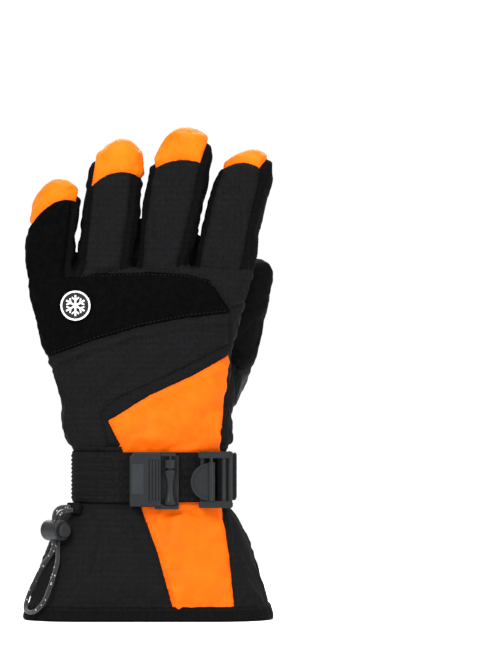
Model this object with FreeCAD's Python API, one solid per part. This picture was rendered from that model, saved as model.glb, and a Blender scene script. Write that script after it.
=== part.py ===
import FreeCAD, Part
import math
import os
from FreeCAD import Vector

# Insulated ski glove for the left hand, standing upright on its cuff hem. Millimetres.
# +Z runs to the fingertips, the back of the hand faces -Y, the palm +Y and the thumb +X.
# The origin is the centre of the cuff's opening, on the plane that the hem stands on.

# ---------------------------------------------------------------- driving dimensions
SKIN = 1.2                      # outer fabric
LAYER_GAP = 0.1                 # between one layer and the next
LINING = 0.9
CUFF_PAD_FROM = 2.4             # depth of the cuff's padding below the outer surface
CUFF_PAD_TO = 4.6
CUFF_LINING_TO = 5.6
SEAM_Y = 0.0                    # side seams of hand and cuff: back in front of it, palm behind
HEM_HEIGHT = 9.0
HEM_TAPE = 0.9
WRIST_TOP = 104.0               # where the hand part of the shell begins
KNUCKLE_CLEARANCE = 0.5         # round a finger's base, in the socket of the hand
FINGER_RADIUS = 16.2            # of the rounded base that turns in the hand
FINGER_BEND = 55.0
THUMB_RADIUS = 16.2
THUMB_SWING = 40.0
THUMB_AXIS_Y = 38.5
THUMB_AXIS_Z = 150.0
STRAP_LOW = 70.8
STRAP_HIGH = 100.8              # 30 mm webbing
WEBBING = 1.8
BUCKLE_BACK = -32.2             # face of the buckle that lies on the webbing
CORD_D = 2.6

# Outline of hand and cuff: height, left edge, right edge, back face, palm face, corner radius
SHELL = [
    (0.0, -74.5, 75.5, -46.0, 49.0, 34.0),
    (20.0, -68.0, 69.0, -42.5, 45.5, 32.0),
    (40.0, -61.0, 62.0, -38.0, 41.0, 29.0),
    (58.0, -51.5, 54.0, -33.0, 36.0, 26.0),
    (70.0, -43.7, 48.0, -29.6, 32.0, 23.0),
    (87.0, -43.5, 47.0, -28.6, 31.0, 22.0),
    (104.0, -43.8, 47.0, -28.0, 29.5, 21.0),
    (130.0, -51.0, 48.5, -25.0, 23.5, 20.0),
    (160.0, -60.0, 52.0, -23.0, 21.0, 19.0),
    (190.0, -68.5, 60.5, -21.0, 20.5, 18.5),
    (216.0, -74.0, 67.0, -19.0, 18.5, 17.5),
    (228.0, -75.0, 68.0, -18.0, 17.5, 17.0),
]
# Bulge at the root of the thumb: height, centre x, centre y, width, depth
THUMB_ROOT = [
    (100.0, 24.0, 13.0, 34.0, 28.0),
    (118.0, 31.0, 23.0, 34.0, 33.0),
    (136.0, 39.0, 33.5, 35.0, 35.0),
    (156.0, 46.0, 38.5, 37.0, 36.0),
]
THUMB = [
    (132.0, 38.0, 38.5, 33.0, 31.0),
    (150.0, 45.5, 38.5, 33.5, 31.0),
    (166.0, 51.5, 38.0, 34.0, 31.0),
    (186.0, 57.0, 36.5, 33.0, 30.0),
    (203.0, 61.0, 35.0, 31.0, 28.5),
]
THUMB_TIP = 218.0

# Each finger: knuckle height, tip height, edges at z 210 and at z 262, wall, cap seam height
FINGERS = {
    "index": (219.0, 283.0, (27.2, 65.6), (39.4, 75.6), 7.0, 275.0),
    "middle": (219.0, 296.6, (-7.5, 25.5), (-1.0, 37.4), 7.0, 276.5),
    "ring": (218.0, 290.0, (-43.6, -9.3), (-38.3, -2.8), 7.0, 268.5),
    "pinky": (212.0, 266.0, (-72.6, -45.4), (-67.0, -40.2), 6.0, 252.0),
}
# bounds along X of the sockets that the finger bases turn in
SOCKETS = {
    "pinky": (-90.0, -44.5),
    "ring": (-44.5, -8.4),
    "middle": (-8.4, 26.4),
    "index": (26.4, 90.0),
}

os.makedirs("parts", exist_ok=True)


# ---------------------------------------------------------------- helpers
def export(name, shape):
    """Write one node; pieces that a cut left smaller than a crumb are dropped."""
    solids = [s for s in shape.Solids if s.Volume > 0.5]
    if not solids:
        raise RuntimeError(name + " came out empty")
    result = solids[0] if len(solids) == 1 else Part.makeCompound(solids)
    result.exportStep("parts/" + name + ".step")
    print(name, len(solids), round(result.Volume), result.isValid())


def rounded(cx, cy, w, d, r, z):
    """Rounded rectangle in the plane z, as a closed wire of four lines and four arcs."""
    r = min(r, w / 2 - 0.4, d / 2 - 0.4)
    hx = w / 2
    hy = d / 2
    k = r * (1 - math.sqrt(0.5))
    line = [
        ((hx - r, -hy), (-hx + r, -hy)), ((-hx, -hy + r), (-hx, hy - r)),
        ((-hx + r, hy), (hx - r, hy)), ((hx, hy - r), (hx, -hy + r)),
    ]
    bend = [(-hx + k, -hy + k), (-hx + k, hy - k), (hx - k, hy - k), (hx - k, -hy + k)]
    edges = []
    for i in range(4):
        a, b = [Vector(cx + p[0], cy + p[1], z) for p in line[i]]
        c = Vector(cx + line[(i + 1) % 4][0][0], cy + line[(i + 1) % 4][0][1], z)
        m = Vector(cx + bend[i][0], cy + bend[i][1], z)
        edges.append(Part.makeLine(a, b))
        edges.append(Part.Arc(b, m, c).toShape())
    return Part.Wire(edges)


def loft(stations, inset=0.0, ruled=False):
    """Solid through rounded rectangles (z, cx, cy, w, d, r), each shrunk by inset."""
    wires = []
    for z, cx, cy, w, d, r in stations:
        wires.append(rounded(cx, cy, w - 2 * inset, d - 2 * inset, max(r - inset, 1.0), z))
    return Part.makeLoft(wires, True, ruled)


def slab(z0, z1, y0=-120.0, y1=120.0, x0=-150.0, x1=150.0):
    return Part.makeBox(x1 - x0, y1 - y0, z1 - z0, Vector(x0, y0, z0))


def prism(points, y0, y1):
    """Block between y0 and y1 whose front view is the polygon of (x, z) points."""
    ring = [Vector(x, y0, z) for x, z in points]
    face = Part.Face(Part.makePolygon(ring + ring[:1]))
    return face.extrude(Vector(0, y1 - y0, 0))


def bar_x(radius, y, z, x0, x1):
    return Part.makeCylinder(radius, x1 - x0, Vector(x0, y, z), Vector(1, 0, 0))


def swing_room(radius, y, z, x0, x1, angle):
    """All that a rounded base and the tube above it sweep while bending towards +Y."""
    reach = 120.0
    low = math.radians(angle)
    sideways = Vector(0, math.cos(low), -math.sin(low)) * radius
    along = Vector(0, math.sin(low), math.cos(low)) * reach
    pivot = Vector(x0, y, z)
    ring = [
        pivot, pivot + sideways, pivot + sideways + along,
        Vector(x0, y + reach, z + reach), Vector(x0, y - reach, z + reach), Vector(x0, y - reach, z),
    ]
    face = Part.Face(Part.makePolygon(ring + ring[:1]))
    return face.extrude(Vector(x1 - x0, 0, 0)).fuse(bar_x(radius, y, z, x0, x1))


def domed(stations, tip, ease=2.3):
    """Adds the stations of a rounded end that closes between the last one and the tip."""
    z, cx, cy, w, d, r = stations[-1]
    z_b, cx_b, cy_b = stations[-2][:3]
    lean_x = (cx - cx_b) / (z - z_b)
    lean_y = (cy - cy_b) / (z - z_b)
    result = list(stations)
    for t in (0.35, 0.62, 0.82, 0.94, 1.0):
        f = max((1 - t ** ease) ** (1 / ease), 0.3)
        h = (tip - z) * t
        result.append((z + h, cx + lean_x * h, cy + lean_y * h, w * f, d * f, r * f))
    return result


def shell_stations():
    result = []
    for z, left, right, back, palm, r in SHELL:
        result.append((z, (left + right) / 2, (back + palm) / 2, right - left, palm - back, r))
    return result


def root_stations():
    return [(z, cx, cy, w, d, 0.42 * d) for z, cx, cy, w, d in THUMB_ROOT]


def below_zero(stations):
    """The same outline carried on a little below the floor plane, for clean cuts at z 0."""
    z, cx, cy, w, d, r = stations[0]
    return [(z - 12.0, cx, cy, w + 7.0, d + 5.0, r)] + stations


# ---------------------------------------------------------------- hand and cuff volumes
SHELL_ST = below_zero(shell_stations())
ROOT_ST = root_stations()

sockets = []
for finger, (x0, x1) in SOCKETS.items():
    z_axis = FINGERS[finger][0]
    radius = FINGER_RADIUS + KNUCKLE_CLEARANCE
    sockets.append(swing_room(radius, 0.0, z_axis, x0, x1, FINGER_BEND + 5))
thumb_socket = swing_room(
    THUMB_RADIUS + KNUCKLE_CLEARANCE, THUMB_AXIS_Y, THUMB_AXIS_Z, 22.0, 80.0, THUMB_SWING + 5)
# the thumb's socket only opens the bulge, so it stops at the palm's face
thumb_socket = thumb_socket.common(slab(100, 300, THUMB_AXIS_Y - THUMB_RADIUS - 1.5, 150))

shells = {}


def hand_volume(inset):
    """Hand, cuff and thumb root as one solid, shrunk by inset; kept, as several parts use it."""
    if inset not in shells:
        root = loft(ROOT_ST, inset).cut(thumb_socket)
        shells[inset] = loft(SHELL_ST, inset).fuse(root)
    return shells[inset]


CAVITY = [
    (92.0, 1.0, 1.0, 75.5, 43.0, 9.0),
    (228.0, -5.0, -1.0, 122.0, 24.5, 9.0),
]
cavity = loft(CAVITY, 0.0, True)
thumb_tunnel = loft([
    (106.0, 20.0, 6.0, 20.0, 20.0, 5.0),
    (158.0, 48.5, 38.5, 20.0, 18.0, 5.0),
], 0.0, True)


def without_sockets(shape):
    """Takes the finger sockets out of a part of the hand."""
    for socket in sockets:
        shape = shape.cut(socket)
    return shape


# ---------------------------------------------------------------- outer panels of hand and cuff
skin = hand_volume(0.0).cut(hand_volume(SKIN))
hand_skin = without_sockets(skin.common(slab(WRIST_TOP, 240)))
cuff_skin = skin.common(slab(HEM_TAPE + LAYER_GAP, WRIST_TOP))

KNUCKLE_TOP = [(-90, 207.6), (-44.4, 207.6), (-1.8, 209.4), (22.8, 208.2), (37.2, 204.6),
               (41.4, 198.6), (49.8, 186.6)]
KNUCKLE_LOW = [(50.4, 184.2), (22.8, 181.2), (-4.8, 175.8), (-33.0, 167.4), (-90, 148.0)]
SIDE_LINE = [(50.4, 184.2), (49.8, 158.7), (48.6, 136.8), (45.6, 114.6), (44.2, WRIST_TOP)]
TRIM_LINE = [(49.8, 165.6), (11.4, 146.4), (-17.4, 133.2), (-28.2, 124.2), (-23.2, WRIST_TOP)]
ORANGE_LINE = [(49.8, 158.7), (28.2, 147.0), (0.6, 134.4), (-23.4, 119.4), (-15.4, WRIST_TOP)]
ORANGE_LOW = [(-15.4, WRIST_TOP), (-4.2, 70.2), (6.6, 40.8), (19.5, -5.0)]
ORANGE_RIGHT = [(54.0, -5.0), (49.8, 40.8), (46.4, 61.2), (44.2, WRIST_TOP)]

back_skin = hand_skin.common(slab(WRIST_TOP, 240, -120, SEAM_Y))
side_zone = prism(
    [(49.8, 186.6)] + SIDE_LINE + [(90, WRIST_TOP), (90, 204.0), (60, 199.0)], -120, 120)
band_zone = prism(
    KNUCKLE_TOP + [(60, 199.0), (90, 204.0), (90, 240), (-90, 240)], -120, 120)
knuckle_zone = prism(KNUCKLE_TOP + KNUCKLE_LOW, -120, 120)
orange_zone = prism(
    ORANGE_LINE + ORANGE_LOW[1:] + ORANGE_RIGHT + SIDE_LINE[-2:0:-1], -120, 120)
trim_zone = prism(TRIM_LINE + ORANGE_LINE[::-1], -120, 120)

export("finger_base_band", back_skin.common(band_zone))
export("knuckle_panel", back_skin.common(knuckle_zone))
export("radial_side_panel", back_skin.common(side_zone))
export("gauntlet_trim", back_skin.common(trim_zone))
back_left = back_skin
for zone in (band_zone, knuckle_zone, side_zone, trim_zone, orange_zone):
    back_left = back_left.cut(zone)
export("mid_panel", back_left)

cuff_back_skin = cuff_skin.common(slab(-10, WRIST_TOP, -120, SEAM_Y))
orange = back_skin.common(orange_zone).fuse(cuff_back_skin.common(orange_zone))
export("gauntlet_panel", orange.removeSplitter())
export("cuff_back", cuff_back_skin.cut(orange_zone))
export("cuff_palm", cuff_skin.common(slab(-10, WRIST_TOP, SEAM_Y, 120)))

palm_skin = hand_skin.common(slab(WRIST_TOP, 240, SEAM_Y, 120))
flat_palm = loft(SHELL_ST, -0.05)
export("thumb_gusset", palm_skin.cut(flat_palm))
palm_rest = palm_skin.common(flat_palm)
PALM_STITCH_Z = 193.0
export("palm_upper_panel", palm_rest.common(slab(PALM_STITCH_Z, 240)))
export("palm_lower_panel", palm_rest.common(slab(WRIST_TOP, PALM_STITCH_Z)))

# ---------------------------------------------------------------- insulation and lining of the hand
core = hand_volume(SKIN + LAYER_GAP).common(slab(WRIST_TOP - 3.0, 240))
core = without_sockets(core.cut(cavity).cut(thumb_tunnel))
export("hand_insulation_back", core.common(slab(90, 240, -120, -2.0)))
export("hand_insulation_palm", core.common(slab(90, 240, -2.0, 120)))

hand_lining = loft(CAVITY, 0.05, True).cut(loft(CAVITY, LINING, True)).cut(thumb_tunnel)
hand_lining = hand_lining.common(hand_volume(SKIN + LAYER_GAP))
export("hand_lining", hand_lining.common(slab(WRIST_TOP - 3.0, 195.0)))

# ---------------------------------------------------------------- cuff layers
pad = loft(SHELL_ST, CUFF_PAD_FROM).cut(loft(SHELL_ST, CUFF_PAD_TO))
export("cuff_padding", pad.common(slab(HEM_TAPE + LAYER_GAP, WRIST_TOP - 3.2)))
lining = loft(SHELL_ST, CUFF_PAD_TO + LAYER_GAP).cut(loft(SHELL_ST, CUFF_LINING_TO))
export("cuff_lining", lining.common(slab(HEM_TAPE + LAYER_GAP, WRIST_TOP - 3.2)))
elastic = loft(SHELL_ST, SKIN + LAYER_GAP).cut(loft(SHELL_ST, CUFF_PAD_FROM - LAYER_GAP))
export("wrist_elastic", elastic.common(slab(76.0, 98.0, 6.0, 120.0)))

hem_out = loft(SHELL_ST, -HEM_TAPE).cut(loft(SHELL_ST, CUFF_LINING_TO + HEM_TAPE))
hem_core = loft(SHELL_ST, -LAYER_GAP / 2).cut(loft(SHELL_ST, CUFF_LINING_TO + LAYER_GAP / 2))
hem = hem_out.common(slab(0, HEM_HEIGHT)).cut(hem_core.common(slab(HEM_TAPE, HEM_HEIGHT + 5)))
export("hem_binding", hem)


# ---------------------------------------------------------------- fingers
def finger_edges(name, z):
    """Left and right edge of a finger at height z."""
    z_axis, tip, low, high = FINGERS[name][:4]
    t = (z - 210.0) / 52.0
    return [low[i] + (high[i] - low[i]) * t for i in (0, 1)]


def finger_stations(name):
    z_axis, tip = FINGERS[name][:2]
    shoulder = tip - 15.0
    result = []
    for z, depth in ((z_axis - 19.0, 31.0), (z_axis, 31.0), ((z_axis + shoulder) / 2, 31.0),
                     (shoulder, 28.5)):
        left, right = finger_edges(name, z)
        result.append((z, (left + right) / 2, 0.0, right - left, depth, 0.44 * depth))
    return domed(result, tip)


def moving_block(axis_y, axis_z, radius):
    """What a finger keeps: all above its pivot, and a rounded base round the pivot."""
    return slab(axis_z, 400, -200, 200).fuse(bar_x(radius, axis_y, axis_z, -150, 150))


def walls(body, y0, y1, top):
    """Splits insulation round a tunnel into its back, palm, two side walls and its end."""
    end = body.common(slab(top, 400))
    body = body.common(slab(0, top))
    back = body.common(slab(0, 400, -200, y0))
    palm = body.common(slab(0, 400, y1, 200))
    sides = body.common(slab(0, 400, y0, y1))
    return Part.makeCompound(back.Solids + palm.Solids + sides.Solids + end.Solids)


for name in FINGERS:
    z_axis, tip, low, high, wall, cap_z = FINGERS[name]
    stations = finger_stations(name)
    keep = moving_block(0.0, z_axis, FINGER_RADIUS)
    outer = loft(stations, 0.0, True).common(keep)
    shrunk = [s for s in stations if s[0] < tip - 0.1]
    inner = loft(shrunk, SKIN, True)
    finger_skin = outer.cut(inner)

    base_z = z_axis - 20.0
    seam = 5.6
    seam_low = finger_edges(name, base_z)
    seam_high = finger_edges(name, tip + 5)
    middle_zone = [
        (seam_low[0] + seam, base_z), (seam_low[1] - seam, base_z),
        (seam_high[1] - seam, tip + 5), (seam_high[0] + seam, tip + 5),
    ]
    cap_edge = finger_edges(name, cap_z)
    cap_x = (cap_edge[0] + cap_edge[1]) / 2
    arch_r = 24.0
    arch = Part.makeCylinder(arch_r, 300, Vector(cap_x, -150, cap_z - arch_r), Vector(0, 1, 0))
    cap_zone = prism([
        (seam_low[0] + 2.6, base_z), (seam_low[1] - 2.6, base_z),
        (seam_high[1] - 2.6, tip + 5), (seam_high[0] + 2.6, tip + 5),
    ], -60, 7.0)
    cap_zone = cap_zone.common(slab(cap_z - 14.0, 400)).cut(arch)
    centre_zone = prism(middle_zone, -60, 60)
    rest = finger_skin.cut(cap_zone)
    export(name + "_cap", finger_skin.common(cap_zone))
    export(name + "_back_panel", rest.common(centre_zone).common(slab(0, 400, -60, 0)))
    export(name + "_palm_panel", rest.common(centre_zone).common(slab(0, 400, 0, 60)))
    export(name + "_side_walls", rest.cut(centre_zone))

    tunnel_top = tip - wall - 4.0
    tunnel_half = 15.5 - wall
    tunnel_st = []
    for z in (base_z - 4, tunnel_top):
        left, right = finger_edges(name, z)
        tunnel_st.append((z, (left + right) / 2, 0.0, right - left - 2 * wall, 2 * tunnel_half, 4.0))
    tunnel = loft(tunnel_st, 0.0, True)
    padding = loft(shrunk, SKIN + LAYER_GAP, True).common(keep).cut(tunnel)
    export(name + "_insulation", walls(padding, -tunnel_half, tunnel_half, tunnel_top))
    lining_out = loft(tunnel_st, 0.05, True).common(slab(0, tunnel_top - 0.1))
    tunnel_in = loft(tunnel_st, LINING + 0.05, True).common(slab(0, tunnel_top - LINING - 0.1))
    export(name + "_lining", lining_out.cut(tunnel_in).common(keep))

# ---------------------------------------------------------------- thumb
thumb_stations = domed([(z, cx, cy, w, d, 0.44 * d) for z, cx, cy, w, d in THUMB], THUMB_TIP)
thumb_keep = moving_block(THUMB_AXIS_Y, THUMB_AXIS_Z, THUMB_RADIUS)
thumb_shrunk = thumb_stations[:-1]
thumb_outer = loft(thumb_stations, 0.0, True).common(thumb_keep)
thumb_skin = thumb_outer.cut(loft(thumb_shrunk, SKIN, True))
back_zone = prism([(20, 120), (90, 120), (90, 230), (20, 230)], -60, THUMB_AXIS_Y - 1.5)
export("thumb_back_panel", thumb_skin.common(back_zone))
export("thumb_palm_panel", thumb_skin.cut(back_zone))
THUMB_WALL = 6.8
thumb_top = THUMB_TIP - THUMB_WALL - 4.0
thumb_half = 15.5 - THUMB_WALL
tunnel_st = [
    (132.0, 38.5, 38.5, 19.5, 2 * thumb_half, 4.0),
    (thumb_top, 62.0, 36.0, 18.5, 2 * thumb_half - 1.5, 4.0),
]
tunnel = loft(tunnel_st, 0.0, True)
padding = loft(thumb_shrunk, SKIN + LAYER_GAP, True).common(thumb_keep).cut(tunnel)
export("thumb_insulation", walls(
    padding, THUMB_AXIS_Y - thumb_half + 0.2, THUMB_AXIS_Y + thumb_half - 3.4, thumb_top))
lining_out = loft(tunnel_st, 0.05, True).common(slab(0, thumb_top - 0.1))
tunnel_in = loft(tunnel_st, LINING + 0.05, True).common(slab(0, thumb_top - LINING - 0.1))
export("thumb_lining", lining_out.cut(tunnel_in).common(thumb_keep))

# ---------------------------------------------------------------- wrist strap
strap_mid = (STRAP_LOW + STRAP_HIGH) / 2


def strap_ring(offset, z0, z1):
    """Prism of the strap's outline, offset outwards."""
    wire = rounded(2.1, 1.6, 92.6 + 2 * offset, 63.8 + 2 * offset, 23.0 + offset, z0)
    return Part.Face(wire).extrude(Vector(0, 0, z1 - z0))


webbing = strap_ring(WEBBING, STRAP_LOW, STRAP_HIGH).cut(strap_ring(0, STRAP_LOW, STRAP_HIGH))
webbing = webbing.common(slab(STRAP_LOW, STRAP_HIGH, -60, 5.0))
export("strap_webbing", webbing)
loop = strap_ring(WEBBING + 3.4, STRAP_LOW + 0.8, STRAP_HIGH - 0.8)
loop = loop.cut(strap_ring(WEBBING + 1.9, STRAP_LOW + 0.8, STRAP_HIGH - 0.8))
loop = loop.common(slab(STRAP_LOW, STRAP_HIGH, -60, 5.0, 41.0, 70.0))
foot = strap_ring(WEBBING + 3.4, STRAP_LOW + 0.8, STRAP_HIGH - 0.8)
foot = foot.cut(strap_ring(WEBBING + 0.05, STRAP_LOW + 0.8, STRAP_HIGH - 0.8))
foot = foot.common(slab(STRAP_LOW, STRAP_HIGH, -1.0, 5.0, 41.0, 70.0))
export("strap_loop", loop.fuse(foot).removeSplitter())


# ---------------------------------------------------------------- buckle
def block(x0, x1, z0, z1, depth, back=BUCKLE_BACK):
    """Plate standing out of the back of the hand from the plane y = back."""
    return Part.makeBox(x1 - x0, depth, z1 - z0, Vector(x0, back - depth, z0))


def soften(shape, radius, direction):
    """Rounds the straight edges that run along one axis."""
    edges = []
    for e in shape.Edges:
        if e.Curve.TypeId != "Part::GeomLine":
            continue
        run = e.Vertexes[-1].Point - e.Vertexes[0].Point
        if run.Length > radius and abs(run.normalize().dot(direction)) > 0.99:
            edges.append(e)
    return shape.makeFillet(radius, edges) if edges else shape


def soften_front(shape, radius, front_y):
    """Rounds every edge that lies in the front face."""
    edges = [e for e in shape.Edges
             if abs(e.BoundBox.YMin - front_y) < 1e-3 and abs(e.BoundBox.YMax - front_y) < 1e-3]
    return shape.makeFillet(radius, edges)


HOUSING_X = (-10.2, 8.7)
WINDOW_X = (-9.0, -1.6)
HOUSING_DEPTH = 6.4
housing_outline = [
    (HOUSING_X[0] + 2.6, 101.0), (HOUSING_X[1], 101.0), (HOUSING_X[1], 68.2),
    (HOUSING_X[0] + 1.0, 68.2), (HOUSING_X[0], 69.2), (HOUSING_X[0], 98.2),
]
housing = prism(housing_outline, BUCKLE_BACK - HOUSING_DEPTH, BUCKLE_BACK)
housing = soften_front(housing, 1.1, BUCKLE_BACK - HOUSING_DEPTH)
recess = Part.makeBox(7.4, 1.6, 18.6, Vector(WINDOW_X[0], BUCKLE_BACK - HOUSING_DEPTH, 75.6))
housing = housing.cut(soften(recess, 0.9, Vector(0, 1, 0)))
rib_count = 4
for i in range(rib_count):
    x = 1.2 + i * 1.9
    groove = Part.makeBox(0.8, 0.8, 25.0, Vector(x, BUCKLE_BACK - HOUSING_DEPTH, 72.0))
    housing = housing.cut(groove)
top_rail = block(HOUSING_X[1] - 0.5, 17.4, 98.6, 101.0, 5.0)
low_rail = block(HOUSING_X[1] - 0.5, 19.2, 66.8, 69.0, 5.0)
low_rail = low_rail.fuse(block(HOUSING_X[1] - 4.0, HOUSING_X[1] + 1.0, 66.8, 70.0, 5.0))
floor_plate = block(HOUSING_X[1] - 0.5, 19.2, 68.8, 99.0, 1.2)
housing = housing.fuse([top_rail, low_rail, floor_plate]).removeSplitter()
LATCH_X = 14.1
LATCH_Y = BUCKLE_BACK - 3.6
pin = Part.makeCylinder(1.0, 33.4, Vector(LATCH_X, LATCH_Y, 67.4))
housing = housing.fuse(pin).removeSplitter()
export("buckle_housing", housing)

window = Part.makeBox(7.2, 1.5, 18.4, Vector(WINDOW_X[0] + 0.1, BUCKLE_BACK - HOUSING_DEPTH + 0.1, 75.7))
export("buckle_window", soften(window, 0.85, Vector(0, 1, 0)))

# waisted lever that turns on the buckle's upright pin
profile = [(0, 0), (3.7, 0), (3.7, 2.0)]
waist = []
for i in range(9):
    t = i / 8.0
    waist.append(Vector(3.7 - 1.5 * math.sin(math.pi * t), 0, 2.0 + 16.6 * t))
curve = Part.BSplineCurve()
curve.interpolate(waist)
ends = [Vector(0, 0, 0), Vector(3.7, 0, 0), waist[0]]
close = [waist[-1], Vector(3.7, 0, 20.6), Vector(0, 0, 20.6), Vector(0, 0, 0)]
edges = [Part.makeLine(ends[0], ends[1]), Part.makeLine(ends[1], ends[2]), curve.toShape()]
edges += [Part.makeLine(close[i], close[i + 1]) for i in range(3)]
lever = Part.Face(Part.Wire(edges)).revolve(Vector(0, 0, 0), Vector(0, 0, 1), 360)
lever = lever.common(Part.makeBox(8, 4.5, 22, Vector(-4, -3.6, 0)))
lever = lever.fuse(Part.makeCylinder(2.1, 20.6))
lever = lever.cut(Part.makeCylinder(1.06, 40, Vector(0, 0, -5)))
lever.translate(Vector(LATCH_X, LATCH_Y, 69.5))
collar = Part.makeCylinder(3.7, 5.0, Vector(LATCH_X, LATCH_Y, 91.4))
collar = collar.cut(Part.makeCylinder(1.06, 40, Vector(LATCH_X, LATCH_Y, 80)))
neck = Part.makeCylinder(2.1, 2.0, Vector(LATCH_X, LATCH_Y, 90.0))
neck = neck.cut(Part.makeCylinder(1.06, 40, Vector(LATCH_X, LATCH_Y, 80)))
collar = collar.common(slab(80, 120, LATCH_Y - 10, LATCH_Y + 0.9))
lever = lever.common(slab(60, 120, LATCH_Y - 10, LATCH_Y + 2.2)).fuse([neck, collar])
export("latch_lever", lever.removeSplitter())

# ladder-lock frame with two rails, three crossbars and a half-round tab that lifts to slacken
FRAME_X = (31.0, 51.6)
TAB_X = 38.6
TAB_Y = BUCKLE_BACK - 5.4
rail_top = soften(block(FRAME_X[0], FRAME_X[1], 97.4, 101.4, 4.2, -34.2), 1.4, Vector(0, 1, 0))
rail_low = soften(block(FRAME_X[0], FRAME_X[1], 67.6, 71.6, 4.2, -34.2), 1.4, Vector(0, 1, 0))
frame = rail_top.fuse(rail_low)
for x, y, r in ((33.2, -34.9, 1.3), (46.0, -36.3, 1.3), (50.0, -36.3, 1.3)):
    frame = frame.fuse(Part.makeCylinder(r, 30.0, Vector(x, y, 69.6)))
tab_pin = Part.makeCylinder(1.0, 30.0, Vector(TAB_X, TAB_Y, 69.6))
frame = frame.fuse(tab_pin).removeSplitter()
export("ladder_lock_frame", frame)

tab = Part.makeCylinder(11.2, 2.0, Vector(TAB_X - 1.0, TAB_Y + 1.0, 83.2), Vector(0, -1, 0))
tab = tab.common(slab(60, 110, -60, 0, 0, TAB_X))
rim = Part.makeCylinder(11.2, 2.9, Vector(TAB_X - 1.0, TAB_Y + 1.0, 83.2), Vector(0, -1, 0))
rim = rim.cut(Part.makeCylinder(9.8, 5.0, Vector(TAB_X - 1.0, TAB_Y + 2.0, 83.2), Vector(0, -1, 0)))
rim = rim.common(slab(60, 110, -60, 0, 0, TAB_X - 2.0))
barrel = Part.makeCylinder(2.2, 23.0, Vector(TAB_X, TAB_Y, 71.9))
tab = tab.fuse([rim, barrel]).removeSplitter()
tab = tab.cut(Part.makeCylinder(1.06, 60, Vector(TAB_X, TAB_Y, 60)))
export("lift_tab", tab)

# ---------------------------------------------------------------- badge on the knuckle panel
BADGE = (-43.0, 188.5)
badge_r = 9.0
badge_y = -21.5
disc = Part.makeCylinder(badge_r, 1.6, Vector(BADGE[0], badge_y, BADGE[1]), Vector(0, -1, 0))
front = badge_y - 1.6
arms = []
for i in range(3):
    arm = Part.makeBox(12.6, 0.7, 1.1, Vector(-6.3, -0.7, -0.55))
    arm.rotate(Vector(0, 0, 0), Vector(0, 1, 0), 30 + 60 * i)
    arms.append(arm)
for i in range(6):
    for turn in (50, -50):
        twig = Part.makeBox(2.8, 0.7, 0.9, Vector(0, -0.7, -0.45))
        twig.rotate(Vector(0, 0, 0), Vector(0, 1, 0), turn)
        twig.translate(Vector(3.2, 0, 0))
        twig.rotate(Vector(0, 0, 0), Vector(0, 1, 0), 30 + 60 * i)
        arms.append(twig)
star = arms[0].fuse(arms[1:])
star.translate(Vector(BADGE[0], front + 0.1, BADGE[1]))
border = Part.makeCylinder(badge_r, 0.6, Vector(BADGE[0], front, BADGE[1]), Vector(0, -1, 0))
border = border.cut(
    Part.makeCylinder(badge_r - 1.1, 2.0, Vector(BADGE[0], front + 0.5, BADGE[1]), Vector(0, -1, 0)))
badge = disc.fuse([star, border]).removeSplitter()
badge.rotate(Vector(BADGE[0], badge_y, BADGE[1]), Vector(1, 0, 0), -3.8)
export("badge", badge)

# ---------------------------------------------------------------- wrist cord and its lock
LOCK = Vector(-54.5, -30.45, 54.0)
LOCK_TURN = 40.0                # about Z, so that the lock lies along the cuff's corner
LOCK_R = 6.2
LOCK_LENGTH = 14.0
PLUNGER_TRAVEL = 2.0
lock_front = LOCK.y - LOCK_LENGTH / 2


def along_y(radius, length, y):
    return Part.makeCylinder(radius, length, Vector(LOCK.x, y, LOCK.z), Vector(0, 1, 0))


def cord_way(y0, y1):
    """Upright slot for the two strands of the cord."""
    return slab(LOCK.z - 10, LOCK.z + 10, y0, y1, LOCK.x - 2.9, LOCK.x + 2.9)


def turned(shape):
    shape.rotate(LOCK, Vector(0, 0, 1), LOCK_TURN)
    return shape


body = soften_front(along_y(LOCK_R, LOCK_LENGTH, lock_front), 1.0, lock_front)
body = body.cut(along_y(4.3, 13.0, lock_front)).cut(cord_way(LOCK.y - 2.4, LOCK.y + 1.8))
export("cord_lock_body", turned(body))
plunger = soften_front(along_y(4.2, 12.8, lock_front - 2.8), 0.8, lock_front - 2.8)
plunger = plunger.cut(cord_way(LOCK.y - 1.5 - PLUNGER_TRAVEL, LOCK.y + 1.5))
export("cord_lock_plunger", turned(plunger))
turns = 2.5
steps = 30
coil_points = []
for i in range(steps + 1):
    angle = 2 * math.pi * turns * i / steps
    rise = LOCK.y + 3.45 + 2.1 * i / steps
    coil_points.append(Vector(LOCK.x + 2.9 * math.cos(angle), rise, LOCK.z + 2.9 * math.sin(angle)))
coil_curve = Part.BSplineCurve()
coil_curve.interpolate(coil_points)
wire = Part.Wire(Part.makeCircle(0.28, coil_curve.value(0), coil_curve.tangent(0)[0]))
coil = Part.Wire(coil_curve.toShape()).makePipeShell([wire], True, True)
export("cord_lock_spring", turned(coil))

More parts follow.
